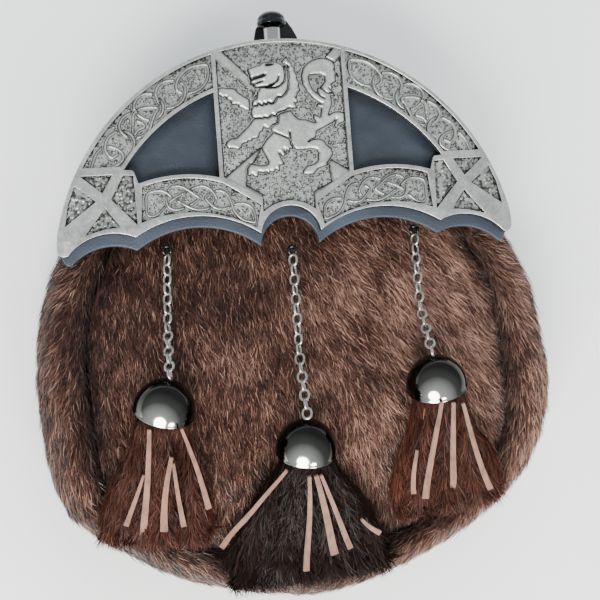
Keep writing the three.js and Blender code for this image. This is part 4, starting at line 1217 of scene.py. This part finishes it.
class FurSettings(bpy.types.PropertyGroup):
    front_hairs: count_setting("Front hairs", "Hairs on each half of the front", 52000)
    gusset_hairs: count_setting("Gusset hairs", "Hairs on each half of the gusset", 50000)
    tassel_hairs: count_setting("Tassel hairs", "Hairs on each tassel", 14000)
    hair_length: length_setting("Hair length", "Length of the fur's guard hairs", 6.2)
    hair_width: length_setting("Hair width", "Width of one hair at its middle", 0.23)
    dark: colour_setting("Dark hair", "Darkest colour of the fur", (0.016, 0.006, 0.0045))
    brown: colour_setting("Brown hair", "Main colour of the fur", (0.100, 0.037, 0.025))
    tan: colour_setting("Tan hair", "Lightest colour of the fur", (0.41, 0.235, 0.168))
    tassel: colour_setting("Tassel hair", "Main colour of the tassels", (0.012, 0.0055, 0.004))
    thong: colour_setting("Thong", "Colour of the suede thongs", (0.235, 0.115, 0.074))


class HardwareSettings(bpy.types.PropertyGroup):
    # The bell metal colour is the brightest step of the bells' painted reflection.
    bell_metal: colour_setting("Bell metal", "Colour of the bells", (0.62, 0.61, 0.56))
    knob_metal: colour_setting("Knob metal", "Colour of the knob and the anchors", (0.045, 0.048, 0.052))
    chain_metal: colour_setting("Chain metal", "Colour of the chains", (0.56, 0.55, 0.52))
    body_leather: colour_setting("Body leather", "Colour of the back, hinge and loops", (0.014, 0.014, 0.016))
    thread: colour_setting("Thread", "Colour of the stitching", (0.035, 0.035, 0.038))
    floor: colour_setting("Floor", "Colour of the floor", (0.97, 0.97, 0.968))


# ------------------------------------------------------------------ operators
class SPORRAN_OT_cantle(bpy.types.Operator):
    """Casts the cantle: its plate, its raised frame and the relief in its sunk floors"""
    bl_idname = "sporran.cantle"
    bl_label = "Cantle"
    bl_options = {"REGISTER", "UNDO"}

    def execute(self, context):
        cantle = context.scene.sporran_cantle
        plain = pewter("cast metal, frame, painted side shade", tuple(cantle.metal), False)
        carved = pewter("cast metal, relief, painted highlight", tuple(cantle.metal), True)
        windows = window_outlines()
        floors = knot_floors() + end_floors() + [middle_panel()]
        base = plate("cantle_plate", cantle_outline(), windows, cantle_low.z, FLOOR_Z + 0.05, 0.5, plain)
        seat(base, "cantle_metal", "cantle")
        rim = plate("cantle_frame", cantle_outline(0.25), windows + floors, FLOOR_Z - 0.3, FRAME_Z,
                    cantle.edge_bevel / MM, plain)
        seat(rim, "cantle_metal")
        relief = Relief(cantle.relief_step / MM)
        relief.deck(middle_panel(), ARM_LEVEL)
        relief.sink(middle_floors())
        for outlines in [[outline] for outline in knot_floors()] + [middle_floors()]:
            relief.floor(outlines, 1.0, 0.12)
        for outline in end_floors():
            relief.floor([outline], 1.5, 0.30)
        radius = cantle.strand_radius / MM
        for side in (1, -1):
            relief.weave(knot(UPPER_KNOTS, side), radius * 0.95, *STRAND_LEVELS)
            relief.weave(knot(LOWER_KNOTS, side), radius * 0.86, *STRAND_LEVELS)
        carve_lion(relief)
        seat(relief.piece("cantle_relief", FLOOR_Z, carved), "cantle_metal")
        return {"FINISHED"}


class SPORRAN_OT_flap(bpy.types.Operator):
    """Cuts the navy leather flap that shows in the windows and below the cantle"""
    bl_idname = "sporran.flap"
    bl_label = "Flap"
    bl_options = {"REGISTER", "UNDO"}

    def execute(self, context):
        cantle = context.scene.sporran_cantle
        skin = leather("navy leather", tuple(cantle.leather), 0.0011, 0.46, 0.4)
        inset = 0.8
        tip = angle_at_x(ARC_RADIUS - inset, TIP_X - inset)
        corner = [(77.1, 4.0), (76.7, 0.6), (75.9, -1.5), (74.9, -2.5)]
        edge = scallops(corner, (73.6, -2.6), (61.0, 3.2), (51.8, 1.3), (33, 7.9), (9.9, 0.2), (0, 10.0))
        outline = arc_band(ARC_RADIUS - inset, -tip, tip, 150) + edge
        body = plate("flap_leather", outline, [], flap_low.z, flap_high.z, 0.6, skin)
        seat(body, "flap_leather", "flap")
        # Painted shade: the leather seen in the windows is the flap's own leather, painted darker as if
        # shaded behind the cantle.
        window_shade_colour = shade(tuple(cantle.leather), 0.62)
        shadowed = leather("navy leather, painted shade in the windows", window_shade_colour, 0.0011, 0.42, 0.45)
        for name, window in zip(("right", "left"), window_outlines()):
            seat(self.pad(f"window_pad_{name}", window, shadowed), "flap_leather")
        return {"FINISHED"}

    def pad(self, name, window, material):
        """Leather that swells a little into a window of the cantle, with soft dents."""
        field = Relief(0.6, (-60, 20), (60, 60))
        part, inner = field.inside(window, 1.5)
        points, faces = grid_points(field, part, inner > -1.4)
        swell = np.clip((inner + 1.0) / 5.0, 0, 1)[points[:, 3].astype(int), points[:, 4].astype(int)]
        dents = [noise.noise(Vector((x / 9, y / 9, 3.1))) + 0.4 * noise.noise(Vector((x / 3.5, y / 3.5, 7)))
                 for x, y in points[:, :2]]
        z = flap_high.z - 0.15 + 0.75 * swell + 0.38 * np.array(dents) * swell
        return mesh_piece(name, np.column_stack([points[:, :2], z]), [faces], material)


def grid_points(field, part, cover):
    """Points (x, y, 0, row, column) and faces of the covered cells of one window of a grid."""
    gx, gy = np.meshgrid(field.x[part[1]], field.y[part[0]])
    rows, columns = np.nonzero(cover[:-1, :-1] & cover[1:, :-1] & cover[:-1, 1:] & cover[1:, 1:])
    across = gx.shape[1]
    corner = rows * across + columns
    fours = np.stack([corner, corner + 1, corner + across + 1, corner + across], axis=1)
    used, index = np.unique(fours, return_inverse=True)
    r, c = used // across, used % across
    return np.stack([gx[r, c], gy[r, c], 0 * r, r, c], axis=1), index.reshape(-1, 4)


class SPORRAN_OT_back(bpy.types.Operator):
    """Finishes the leather parts behind the fur, and sews the strap loops"""
    bl_idname = "sporran.back"
    bl_label = "Back, hinge and loops"
    bl_options = {"REGISTER", "UNDO"}

    def execute(self, context):
        hardware = context.scene.sporran_hardware
        hide = leather("black leather", tuple(hardware.body_leather), 0.0013, 0.5, 0.35)
        for name in ("back_panel", "flap_hinge", "strap_loop_left", "strap_loop_right", "knob_tab"):
            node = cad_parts[name]
            node.data.materials.clear()
            node.data.materials.append(hide)
            rounding = node.modifiers.new("Rounded edge", "BEVEL")
            rounding.width = 0.45 * MM
            rounding.segments = 2
            rounding.limit_method = "ANGLE"
        thread, tree, shader = node_material("waxed thread")
        strand = ramp(tree, noise_of(tree, 3000, 2), [(0.3, shade(tuple(hardware.thread), 0.6)),
                                                      (0.7, shade(tuple(hardware.thread), 1.6))])
        tree.links.new(strand, shader.inputs["Base Color"])
        shader.inputs["Roughness"].default_value = 0.6
        seams = []
        for name in ("strap_loop_left", "strap_loop_right"):
            low, high = (np.array(Vector(c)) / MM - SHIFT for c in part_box(name))
            z = high[2] - 1.75
            for y0, y1 in ((low[1] + 1.2, low[1] + 5.6), (high[1] - 5.6, high[1] - 1.2)):
                ring = [(low[0] + 1.4, y0), (high[0] - 1.4, y0), (high[0] - 1.4, y1), (low[0] + 1.4, y1)]
                seams += stitches(ring, z, 2.6)
        seat(joined("loop_stitches", seams, thread), "body_leather")
        return {"FINISHED"}


def stitches(ring, z, pitch, up=-1):
    """Short stitches round a closed ring of corners."""
    made = []
    for (ax, ay), (bx, by) in zip(ring, ring[1:] + ring[:1]):
        length = math.hypot(bx - ax, by - ay)
        count = max(1, int(length / pitch))
        for k in range(count):
            t0, t1 = (k + 0.12) / count, (k + 0.82) / count
            ends = [(ax + (bx - ax) * t, ay + (by - ay) * t) for t in (t0, (t0 + t1) / 2, t1)]
            path = [(x, y, z + lift * up) for (x, y), lift in zip(ends, (-0.05, 0.16, -0.05))]
            made.append(sweep(path, 0.24, 6))
    return made


class SPORRAN_OT_knob(bpy.types.Operator):
    """Turns the blackened knob at the top"""
    bl_idname = "sporran.knob"
    bl_label = "Knob"
    bl_options = {"REGISTER", "UNDO"}

    def execute(self, context):
        hardware = context.scene.sporran_hardware
        black = polished("blackened metal", tuple(hardware.knob_metal), 0.16)
        grey = polished("grey steel", tuple(hardware.chain_metal), 0.22)
        low, high = (np.array(Vector(c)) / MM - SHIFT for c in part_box("knob"))
        middle = ((low[0] + high[0]) / 2, low[1], (low[2] + high[2]) / 2)
        tall = high[1] - low[1]
        profile = [(0, 0), (3.9, 0), (4.2, 0.3), (4.2, 1.0), (3.6, 1.5), (2.95, 1.9), (2.85, 3.0),
                   (2.85, tall - 6.2), (3.1, tall - 5.7), (4.5, tall - 5.3), (5.0, tall - 4.9),
                   (5.1, tall - 4.3), (5.1, tall - 3.7), (4.85, tall - 3.35), (4.6, tall - 3.2),
                   (4.6, tall - 3.0), (4.8, tall - 2.75), (4.6, tall - 2.0), (3.9, tall - 1.2),
                   (2.8, tall - 0.5), (1.4, tall - 0.1), (0.001, tall)]
        split = 8
        cap = [(0.001, profile[split - 1][1])] + profile[split - 1:]
        neck = profile[:split] + [(0.001, profile[split - 1][1] + 0.1)]
        seat(joined("knob_cap", [turned(cap, middle, (0, 1, 0), 48)], black, 55), "knob_metal", "knob")
        seat(joined("knob_neck", [turned(neck, middle, (0, 1, 0), 48)], grey, 55), "knob_metal")
        return {"FINISHED"}


class SPORRAN_OT_chains(bpy.types.Operator):
    """Bends and joins the links of the three chains, with the ring that each hangs from"""
    bl_idname = "sporran.chains"
    bl_label = "Chains"
    bl_options = {"REGISTER", "UNDO"}

    def execute(self, context):
        hardware = context.scene.sporran_hardware
        steel = polished("chain steel", tuple(hardware.chain_metal), 0.24, 0.05)
        black = polished("anchor metal", tuple(hardware.knob_metal), 0.2)
        for name, drop in DROPS.items():
            route = chain_route(drop)
            total = along(route, np.array([0.0]))[2]
            span = total - LINK_LENGTH
            count = round(span / LINK_PITCH) + 1
            distances = LINK_LENGTH / 2 + span * np.arange(count) / (count - 1)
            places, directions, _ = along(route, distances)
            links = [oval_link(p, d, math.radians(14 + 90 * (k % 2)), LINK_LENGTH, LINK_WIDTH, LINK_WIRE)
                     for k, (p, d) in enumerate(zip(places, directions))]
            seat(joined(f"chain_links_{name}", links, steel), "chain_steel", f"chain_{name}")
            t = np.linspace(0, 2 * math.pi, 28, endpoint=False)
            top = route[0]
            centre = np.array([top[0], top[1] + 0.9, top[2] - 0.2])
            ring = centre + np.stack([1.25 * np.cos(t), 1.7 * np.sin(t), 0.7 * np.cos(2 * t)], axis=1)
            stalk = np.array([centre + (-0.9, 0.9, -0.3), centre + (0, 1.5, 0.5), centre + (1.0, 0.9, -0.3)])
            parts = [sweep(ring, 0.55, 10, closed=True), sweep(np.array(blended(stalk, 5)), 0.6, 10)]
            seat(joined(f"anchor_ring_{name}", parts, black), "knob_metal",
                 f"anchor_{name}")
        return {"FINISHED"}


class SPORRAN_OT_bells(bpy.types.Operator):
    """Spins the three domed bells"""
    bl_idname = "sporran.bells"
    bl_label = "Bells"
    bl_options = {"REGISTER", "UNDO"}

    def execute(self, context):
        hardware = context.scene.sporran_hardware
        painted_reflection_metal = domed("bell metal, painted reflection", tuple(hardware.bell_metal))
        for name, drop in DROPS.items():
            axis, centre = bell_pose(drop)
            t = np.linspace(0, math.pi / 2, 22)
            outside = [(BELL_RADIUS * math.sin(a) + 0.001, BELL_RADIUS * math.cos(a)) for a in t]
            rim = [(BELL_RADIUS + 0.12, -0.25), (BELL_RADIUS + 0.02, -0.55), (BELL_RADIUS - 0.4, -0.6),
                   (BELL_RADIUS - 0.8, -0.4)]
            inside = [((BELL_RADIUS - 0.8) * math.sin(a) + 0.001, (BELL_RADIUS - 0.8) * math.cos(a))
                      for a in t[::-1]]
            shell = turned((outside + rim + inside)[::-1], centre, axis, 72)
            seat(joined(f"bell_dome_{name}", [shell], painted_reflection_metal), "bell_metal", f"bell_{name}")
        return {"FINISHED"}


class SPORRAN_OT_tassels(bpy.types.Operator):
    """Gathers each tassel: a dark core, strips of fur that fan out, and suede thongs over them"""
    bl_idname = "sporran.tassels"
    bl_label = "Tassels"
    bl_options = {"REGISTER", "UNDO"}

    def execute(self, context):
        fur = context.scene.sporran_fur
        skin = hide_skin("tassel strips", shade(tuple(fur.tassel), 0.8))
        coat = hair("tassel hair", 0.42, 0.02, 0.14)
        nap = suede("thong suede", tuple(fur.thong))
        for seed, (name, drop) in enumerate(DROPS.items()):
            _, centre = bell_pose(drop)
            points, faces, normals = merged(solid_triangles(f"tassel_{name}"))
            core = mesh_piece(f"tassel_core_{name}", points - normals * TASSEL_SKIN_DEPTH, [faces], skin)
            seat(core, "tassel_fur", f"tassel_{name}")
            warm = np.array(fur.tassel) * (1.15 if name == "middle" else 3.6)
            reddish = warm * ((1, 1, 1) if name == "middle" else (1.35, 1.0, 0.85))
            seat(self.coat(name, drop, centre, fur, reddish, coat, 31 + seed), "tassel_fur")
            seat(self.thongs(name, drop, centre, nap), "tassel_fur")
        return {"FINISHED"}

    def coat(self, name, drop, centre, fur, colour, material, seed):
        """Hair over the core: combed from the bell outwards, in strips whose hairs part from the middle."""
        rng = np.random.RandomState(seed)
        count = fur.tassel_hairs
        solid = solid_triangles(f"tassel_{name}")
        places, normal = scattered(solid, count * 3, seed + 7)
        down, _ = fan_frame(drop)
        above = 8.2 / (drop["fan"] - 8.2) * drop["reach"]
        origin = np.array([centre.x, centre.y, 0]) - down * above
        away = (places - origin) * (1, 1, 0)
        share = np.linalg.norm(away, axis=1) / (above + drop["reach"])
        beyond = (places - np.array([centre.x, centre.y, 0])) @ down
        keep = np.nonzero((beyond > 0.5) & ((normal[:, 2] > -0.2) | (share > 0.9)))[0][:count]
        places, normal, away, share = places[keep], normal[keep], away[keep], share[keep]
        beyond = beyond[keep]
        angle = np.arctan2(away[:, 0], -away[:, 1])
        half = math.atan2(drop["fan"], above + drop["reach"])
        strips = 11
        wave = (angle + half) / (2 * half) * strips + 0.35 * np.sin(share * 7 + seed)
        offset = (wave - np.floor(wave)) * 2 - 1
        strip = np.floor(wave).astype(int) % 97
        rise = rng.uniform(0.0, 2.4, 97)[strip] * np.clip(beyond / 12, 0, 1)
        spread = np.clip(beyond / 18, 0, 1)
        roots = places + normal * ((1 - offset**2) * 1.5 * spread + rise - 1.4)[:, None]
        turn = 0.42 * offset * spread + rng.normal(0, 0.16, len(roots))
        flow = combed(turned_by(away / np.linalg.norm(away, axis=1)[:, None], turn), normal)
        lengths = rng.uniform(5.0, 8.5, len(roots))
        lift = np.clip(rng.normal(0.22, 0.13, len(roots)), 0.02, 0.7)
        tone = rng.lognormal(0, 0.42, len(roots)) * (0.55 + 0.6 * rng.uniform(size=97)[strip])
        # Painted shade: hairs at the edges of each strip are darker, as in the shade between the strips.
        tone *= 0.45 + 0.55 * (1 - offset**4)
        tone += (rng.uniform(size=len(roots)) < 0.05) * 1.4
        colours = np.array(colour)[None, :] * tone[:, None]
        widths = rng.uniform(0.2, 0.36, len(roots))
        return strands(f"tassel_hair_{name}", roots, flow, normal, lengths, widths, lift, colours, material,
                       seed + 50)

    def thongs(self, name, drop, centre, material):
        parts = []
        tuft = tree_of(solid_triangles(f"tassel_{name}"))
        rng = np.random.RandomState(len(name) * 7)
        for x0, y0, x1, y1, width in drop["thongs"]:
            bow = rng.uniform(-1.0, 1.0)
            shares = np.linspace(0, 1, 9)
            path = []
            for s in shares:
                x = centre.x + x0 + (x1 - x0) * s + bow * math.sin(math.pi * s)
                y = centre.y + y0 + (y1 - y0) * s
                top = fur_height(x, y) + 1.0
                for aside in (-2.5, 0.0, 2.5):
                    bed = tuft.ray_cast(Vector((x + aside, y, 200)), Vector((0, 0, -1)))[0]
                    top = max(top, bed.z if bed else 0.0)
                top += THONG_RISE - THONG_SLOPE * s
                path.append((x, y, top + 0.4 * math.sin(3 * s + bow)))
            path = [tuple(row) for row in np.column_stack([np.array(path)[:, :2], eased(path)])]
            widths = width / 2 * np.interp(shares, [0, 0.2, 0.8, 1], [0.50, 0.62, 0.88, 1.0])
            parts.append(ribbon(path, widths, 0.45, 0.35 * bow))
        return joined(f"thongs_{name}", parts, material, 40)


def eased(path):
    """Heights of a path, smoothed so that a strip doesn't kink."""
    heights = np.array(path)[:, 2]
    padded = np.concatenate([heights[:1], heights, heights[-1:]])
    return (padded[:-2] + 2 * padded[1:-1] + padded[2:]) / 4


def ribbon(path, half_widths, half_thick, roll):
    """A flat strip with square edges along a path."""
    path = np.asarray(path, float)
    tangent = np.gradient(path, axis=0)
    tangent /= np.linalg.norm(tangent, axis=1)[:, None]
    side = np.cross(tangent, (0, 0, 1.0))
    side /= np.linalg.norm(side, axis=1)[:, None]
    normal = np.cross(side, tangent)
    angle = roll * np.linspace(0, 1, len(path))[:, None]
    cosine, sine = np.cos(angle), np.sin(angle)
    side, normal = side * cosine + normal * sine, normal * cosine - side * sine
    corners = ((-1, -1), (0, -1.1), (1, -1), (1, 1), (0, 1.15), (-1, 1))
    half_widths = np.asarray(half_widths)[:, None]
    rings = [path + side * a * half_widths + normal * (b * half_thick) for a, b in corners]
    points = np.stack(rings, axis=1).reshape(-1, 3)
    sides = len(corners)
    i, j = np.meshgrid(np.arange(len(path) - 1), np.arange(sides), indexing="ij")
    a, b = i * sides + j, i * sides + (j + 1) % sides
    fours = np.stack([a, b, b + sides, a + sides], axis=-1).reshape(-1, 4)
    last = (len(path) - 1) * sides
    caps = np.array([[0, 5, 4, 1], [1, 4, 3, 2]])
    fours = np.vstack([fours, caps[:, ::-1], last + caps])
    return points, fours, np.zeros((0, 3), int)


def fur_colours(places, fur, rng):
    """Colour of each hair: dark red-brown on the left, lighter tan high on the right, with soft patches."""
    x, y = places[:, 0], places[:, 1]
    light = 0.36 + 0.15 * np.tanh((x - 5) / 35)
    light += 0.13 * np.exp(-(((x - 42) / 32) ** 2 + ((y + 14) / 28) ** 2))
    light += 0.30 * field(places, 17, 3.3) + 0.26 * field(places, 5.5, 9.1)
    light -= 0.34 * np.exp(-(((x - 25) / 7) ** 2 + ((y + 45) / 6) ** 2))
    light += rng.normal(0, 0.34, len(places))
    light = np.clip(light, 0.0, 1.15)[:, None]
    dark, brown, tan = (np.array(c) for c in (fur.dark, fur.brown, fur.tan))
    low = dark + (brown - dark) * np.clip(light * 2.2, 0, 1)
    return low + (tan - low) * np.clip(light * 2.0 - 0.9, 0, 1.4)


def seam_shade(places, other, reach=8.0, depth=0.85):
    """Darkens hairs that are near the other panel, as in the groove of the seam."""
    away = np.array([other.find_nearest(Vector(p))[3] for p in places])
    return (1 - depth * np.clip(1 - (away - 0.8) / reach, 0, 1) ** 1.3)[:, None]


class SPORRAN_OT_front_fur(bpy.types.Operator):
    """Grows the short fur of the front panel, combed down, over its skin"""
    bl_idname = "sporran.front_fur"
    bl_label = "Front fur"
    bl_options = {"REGISTER", "UNDO"}

    def execute(self, context):
        fur = context.scene.sporran_fur
        skin = hide_skin("front skin", tuple(fur.brown))
        triangles = solid_triangles("front_panel")
        points, faces, normals = merged(triangles)
        panel = mesh_piece("front_skin", points - normals * SKIN_DEPTH, [faces], skin)
        seat(panel, "fur", "front_panel")
        coat = hair("front hair")
        gusset = tree_of(solid_triangles("gusset"))
        facing = np.cross(triangles[:, 1] - triangles[:, 0], triangles[:, 2] - triangles[:, 0])
        outer = (facing[:, 2] > 0) & (triangles[:, :, 2].mean(1) > 15)
        for side, half in (("left", -1), ("right", 1)):
            rng = np.random.RandomState(5 + half)
            places, normal = scattered(triangles[outer], int(fur.front_hairs * 3.2), 40 + half)
            keep = (places[:, 0] * half > 0) & (places[:, 1] < 17)
            places, normal = places[keep][:fur.front_hairs], normal[keep][:fur.front_hairs]
            slant = np.clip((places[:, 0] + 15) / 50, 0, 1) * np.clip((places[:, 1] + 95) / 50, 0, 1)
            drift = 0.06 + 0.50 * slant + 0.26 * field(places, 24, 1.7) + 0.34 * field(places, 6, 5.2)
            flow = combed(turned_by(np.tile((0.0, -1.0, 0.0), (len(places), 1)),
                                    drift + rng.normal(0, 0.13, len(places))), normal)
            lengths = fur.hair_length / MM * rng.uniform(0.65, 1.15, len(places))
            lift = np.clip(rng.normal(0.40, 0.14, len(places)) + 0.22 * field(places, 6, 8.8), 0.08, 0.9)
            shaded = seam_shade(places, gusset)
            lengths *= 0.7 + 0.3 * shaded[:, 0]
            piece = strands(f"front_fur_{side}", places - normal * ROOT_DEPTH, flow, normal, lengths,
                            fur.hair_width / MM * rng.uniform(0.7, 1.3, len(places)), lift,
                            fur_colours(places, fur, rng) * shaded, coat, 60 + half)
            seat(piece, "fur")
        return {"FINISHED"}


class SPORRAN_OT_gusset_fur(bpy.types.Operator):
    """Grows the fur of the gusset round the sides and the foot, over its skin"""
    bl_idname = "sporran.gusset_fur"
    bl_label = "Gusset fur"
    bl_options = {"REGISTER", "UNDO"}

    def execute(self, context):
        fur = context.scene.sporran_fur
        skin = hide_skin("gusset skin", tuple(fur.brown))
        triangles = solid_triangles("gusset")
        points, faces, normals = merged(triangles)
        roll = mesh_piece("gusset_skin", points - normals * SKIN_DEPTH, [faces], skin)
        seat(roll, "fur", "gusset")
        coat = hair("gusset hair")
        front = tree_of(solid_triangles("front_panel"))
        bag = tree_of(solid_triangles("gusset", "front_panel", "back_panel"))
        facing = np.cross(triangles[:, 1] - triangles[:, 0], triangles[:, 2] - triangles[:, 0])
        facing /= np.maximum(np.linalg.norm(facing, axis=1), 1e-9)[:, None]
        outer = []
        for corners, normal in zip(triangles, facing):
            start = Vector(corners.mean(0) + normal * 0.3)
            outer.append(normal[2] > -0.6 and bag.ray_cast(start, Vector(normal), 150)[0] is None)
        chosen = triangles[np.array(outer)]
        for side, half in (("left", -1), ("right", 1)):
            rng = np.random.RandomState(15 + half)
            places, normal = scattered(chosen, int(fur.gusset_hairs * 2.5), 70 + half)
            keep = places[:, 0] * half > 0
            places, normal = places[keep][:fur.gusset_hairs], normal[keep][:fur.gusset_hairs]
            out = places[:, :2] - (0, -45)
            out /= np.linalg.norm(out, axis=1)[:, None]
            away = np.column_stack([out, np.zeros(len(out))])
            round_edge = np.column_stack([out[:, 1], -out[:, 0], np.zeros(len(out))]) * half
            shaded = seam_shade(places, front)
            course = round_edge + away * (0.32 - 0.6 * (1 - shaded))
            drift = 0.35 * field(places, 18, 2.9) + 0.30 * field(places, 7, 6.4)
            course = turned_by(course, drift + rng.normal(0, 0.15, len(places)))
            flow = combed(course / np.linalg.norm(course, axis=1)[:, None], normal)
            lengths = fur.hair_length / MM * rng.uniform(0.75, 1.3, len(places))
            lift = np.clip(rng.normal(0.40, 0.14, len(places)) + 0.22 * field(places, 7, 4.1), 0.08, 0.9)
            colours = fur_colours(places, fur, rng) * 0.92 * shaded
            piece = strands(f"gusset_fur_{side}", places - normal * ROOT_DEPTH, flow, normal, lengths,
                            fur.hair_width / MM * rng.uniform(0.8, 1.4, len(places)), lift, colours, coat,
                            80 + half)
            seat(piece, "fur")
        return {"FINISHED"}


class SPORRAN_OT_stage(bpy.types.Operator):
    """Lays the floor and sets the lights and the camera"""
    bl_idname = "sporran.stage"
    bl_label = "Stage"
    bl_options = {"REGISTER", "UNDO"}

    def execute(self, context):
        hardware = context.scene.sporran_hardware
        bpy.ops.mesh.primitive_plane_add(size=FLOOR_SIZE, location=(0, 0, -FLOOR_DROP))
        floor = bpy.context.object
        floor.name = "floor"
        floor.data.materials.append(floor_paint("pale floor", tuple(hardware.floor)))
        world = bpy.data.worlds.new("soft room")
        bpy.context.scene.world = world
        world.use_nodes = True
        world.node_tree.nodes["Background"].inputs["Color"].default_value = (0.86, 0.92, 0.95, 1)
        world.node_tree.nodes["Background"].inputs["Strength"].default_value = 0.74
        self.lamp("window", (-0.32, -0.62, 0.62), 0.60, 17.0, (1.0, 0.985, 0.96))
        self.lamp("side window", (0.22, -0.80, 0.50), 0.30, 5.0, (1.0, 0.98, 0.95))
        self.lamp("sky", (0.2, 1.05, 0.80), 1.1, 15.0, (0.90, 0.97, 1.0), False)
        self.lamp("right fill", (1.1, -0.1, 0.60), 0.9, 7.0, (1.0, 1.0, 1.0), False)
        self.camera()
        return {"FINISHED"}

    def lamp(self, name, place, size, power, colour, mirrored=True):
        light = bpy.data.lights.new(name, "AREA")
        light.shape = "DISK"
        light.size = size
        light.energy = power
        light.color = colour
        holder = bpy.data.objects.new(name, light)
        holder.location = place
        holder.visible_glossy = mirrored
        holder.rotation_euler = (-Vector(place)).to_track_quat("-Z", "Y").to_euler()
        bpy.context.scene.collection.objects.link(holder)

    def camera(self):
        """Looks straight down on the sporran, a little from its left and below, slightly rolled."""
        lens = bpy.data.cameras.new("camera")
        lens.sensor_width = 36
        lens.lens = LENS
        lens.clip_start = 0.01
        eye = bpy.data.objects.new("camera", lens)
        yaw, pitch, roll = (math.radians(a) for a in (CAMERA_YAW, CAMERA_PITCH, CAMERA_ROLL))
        back = Vector((-math.sin(yaw) * math.cos(pitch), -math.sin(pitch), math.cos(yaw) * math.cos(pitch)))
        across = Vector((math.cos(yaw), 0, math.sin(yaw)))
        upward = back.cross(across)
        right = across * math.cos(roll) + upward * math.sin(roll)
        top = upward * math.cos(roll) - across * math.sin(roll)
        place = (Vector(CAMERA_TARGET) + back * CAMERA_DISTANCE + Vector(SHIFT)) * MM
        turn = Matrix((right, top, back)).transposed().to_4x4()
        turn.translation = place
        eye.matrix_world = turn
        bpy.context.scene.collection.objects.link(eye)
        bpy.context.scene.camera = eye


PIECES = (
    SPORRAN_OT_stage, SPORRAN_OT_cantle, SPORRAN_OT_flap, SPORRAN_OT_back, SPORRAN_OT_knob,
    SPORRAN_OT_chains, SPORRAN_OT_bells, SPORRAN_OT_tassels, SPORRAN_OT_front_fur, SPORRAN_OT_gusset_fur,
)


class SPORRAN_PT_panel(bpy.types.Panel):
    """Lists the sporran's pieces and their settings"""
    bl_idname = "SPORRAN_PT_panel"
    bl_label = "Sporran"
    bl_space_type = "VIEW_3D"
    bl_region_type = "UI"
    bl_category = "Sporran"

    def draw(self, context):
        layout = self.layout
        scene = context.scene
        for group in (scene.sporran_cantle, scene.sporran_fur, scene.sporran_hardware):
            box = layout.box()
            for key in group.bl_rna.properties.keys():
                if key not in ("rna_type", "name"):
                    box.prop(group, key)
        for piece in PIECES:
            layout.operator(piece.bl_idname)


SETTINGS = (CantleSettings, FurSettings, HardwareSettings)


def register():
    for cls in SETTINGS + PIECES + (SPORRAN_PT_panel,):
        bpy.utils.register_class(cls)
    bpy.types.Scene.sporran_cantle = PointerProperty(type=CantleSettings)
    bpy.types.Scene.sporran_fur = PointerProperty(type=FurSettings)
    bpy.types.Scene.sporran_hardware = PointerProperty(type=HardwareSettings)


def unregister():
    del bpy.types.Scene.sporran_hardware
    del bpy.types.Scene.sporran_fur
    del bpy.types.Scene.sporran_cantle
    for cls in reversed(SETTINGS + PIECES + (SPORRAN_PT_panel,)):
        bpy.utils.unregister_class(cls)


def main():
    register()
    bpy.ops.sporran.stage()
    bpy.ops.sporran.cantle()
    bpy.ops.sporran.flap()
    bpy.ops.sporran.back()
    bpy.ops.sporran.knob()
    bpy.ops.sporran.chains()
    bpy.ops.sporran.bells()
    bpy.ops.sporran.tassels()
    bpy.ops.sporran.front_fur()
    bpy.ops.sporran.gusset_fur()


if __name__ == "__main__":
    main()
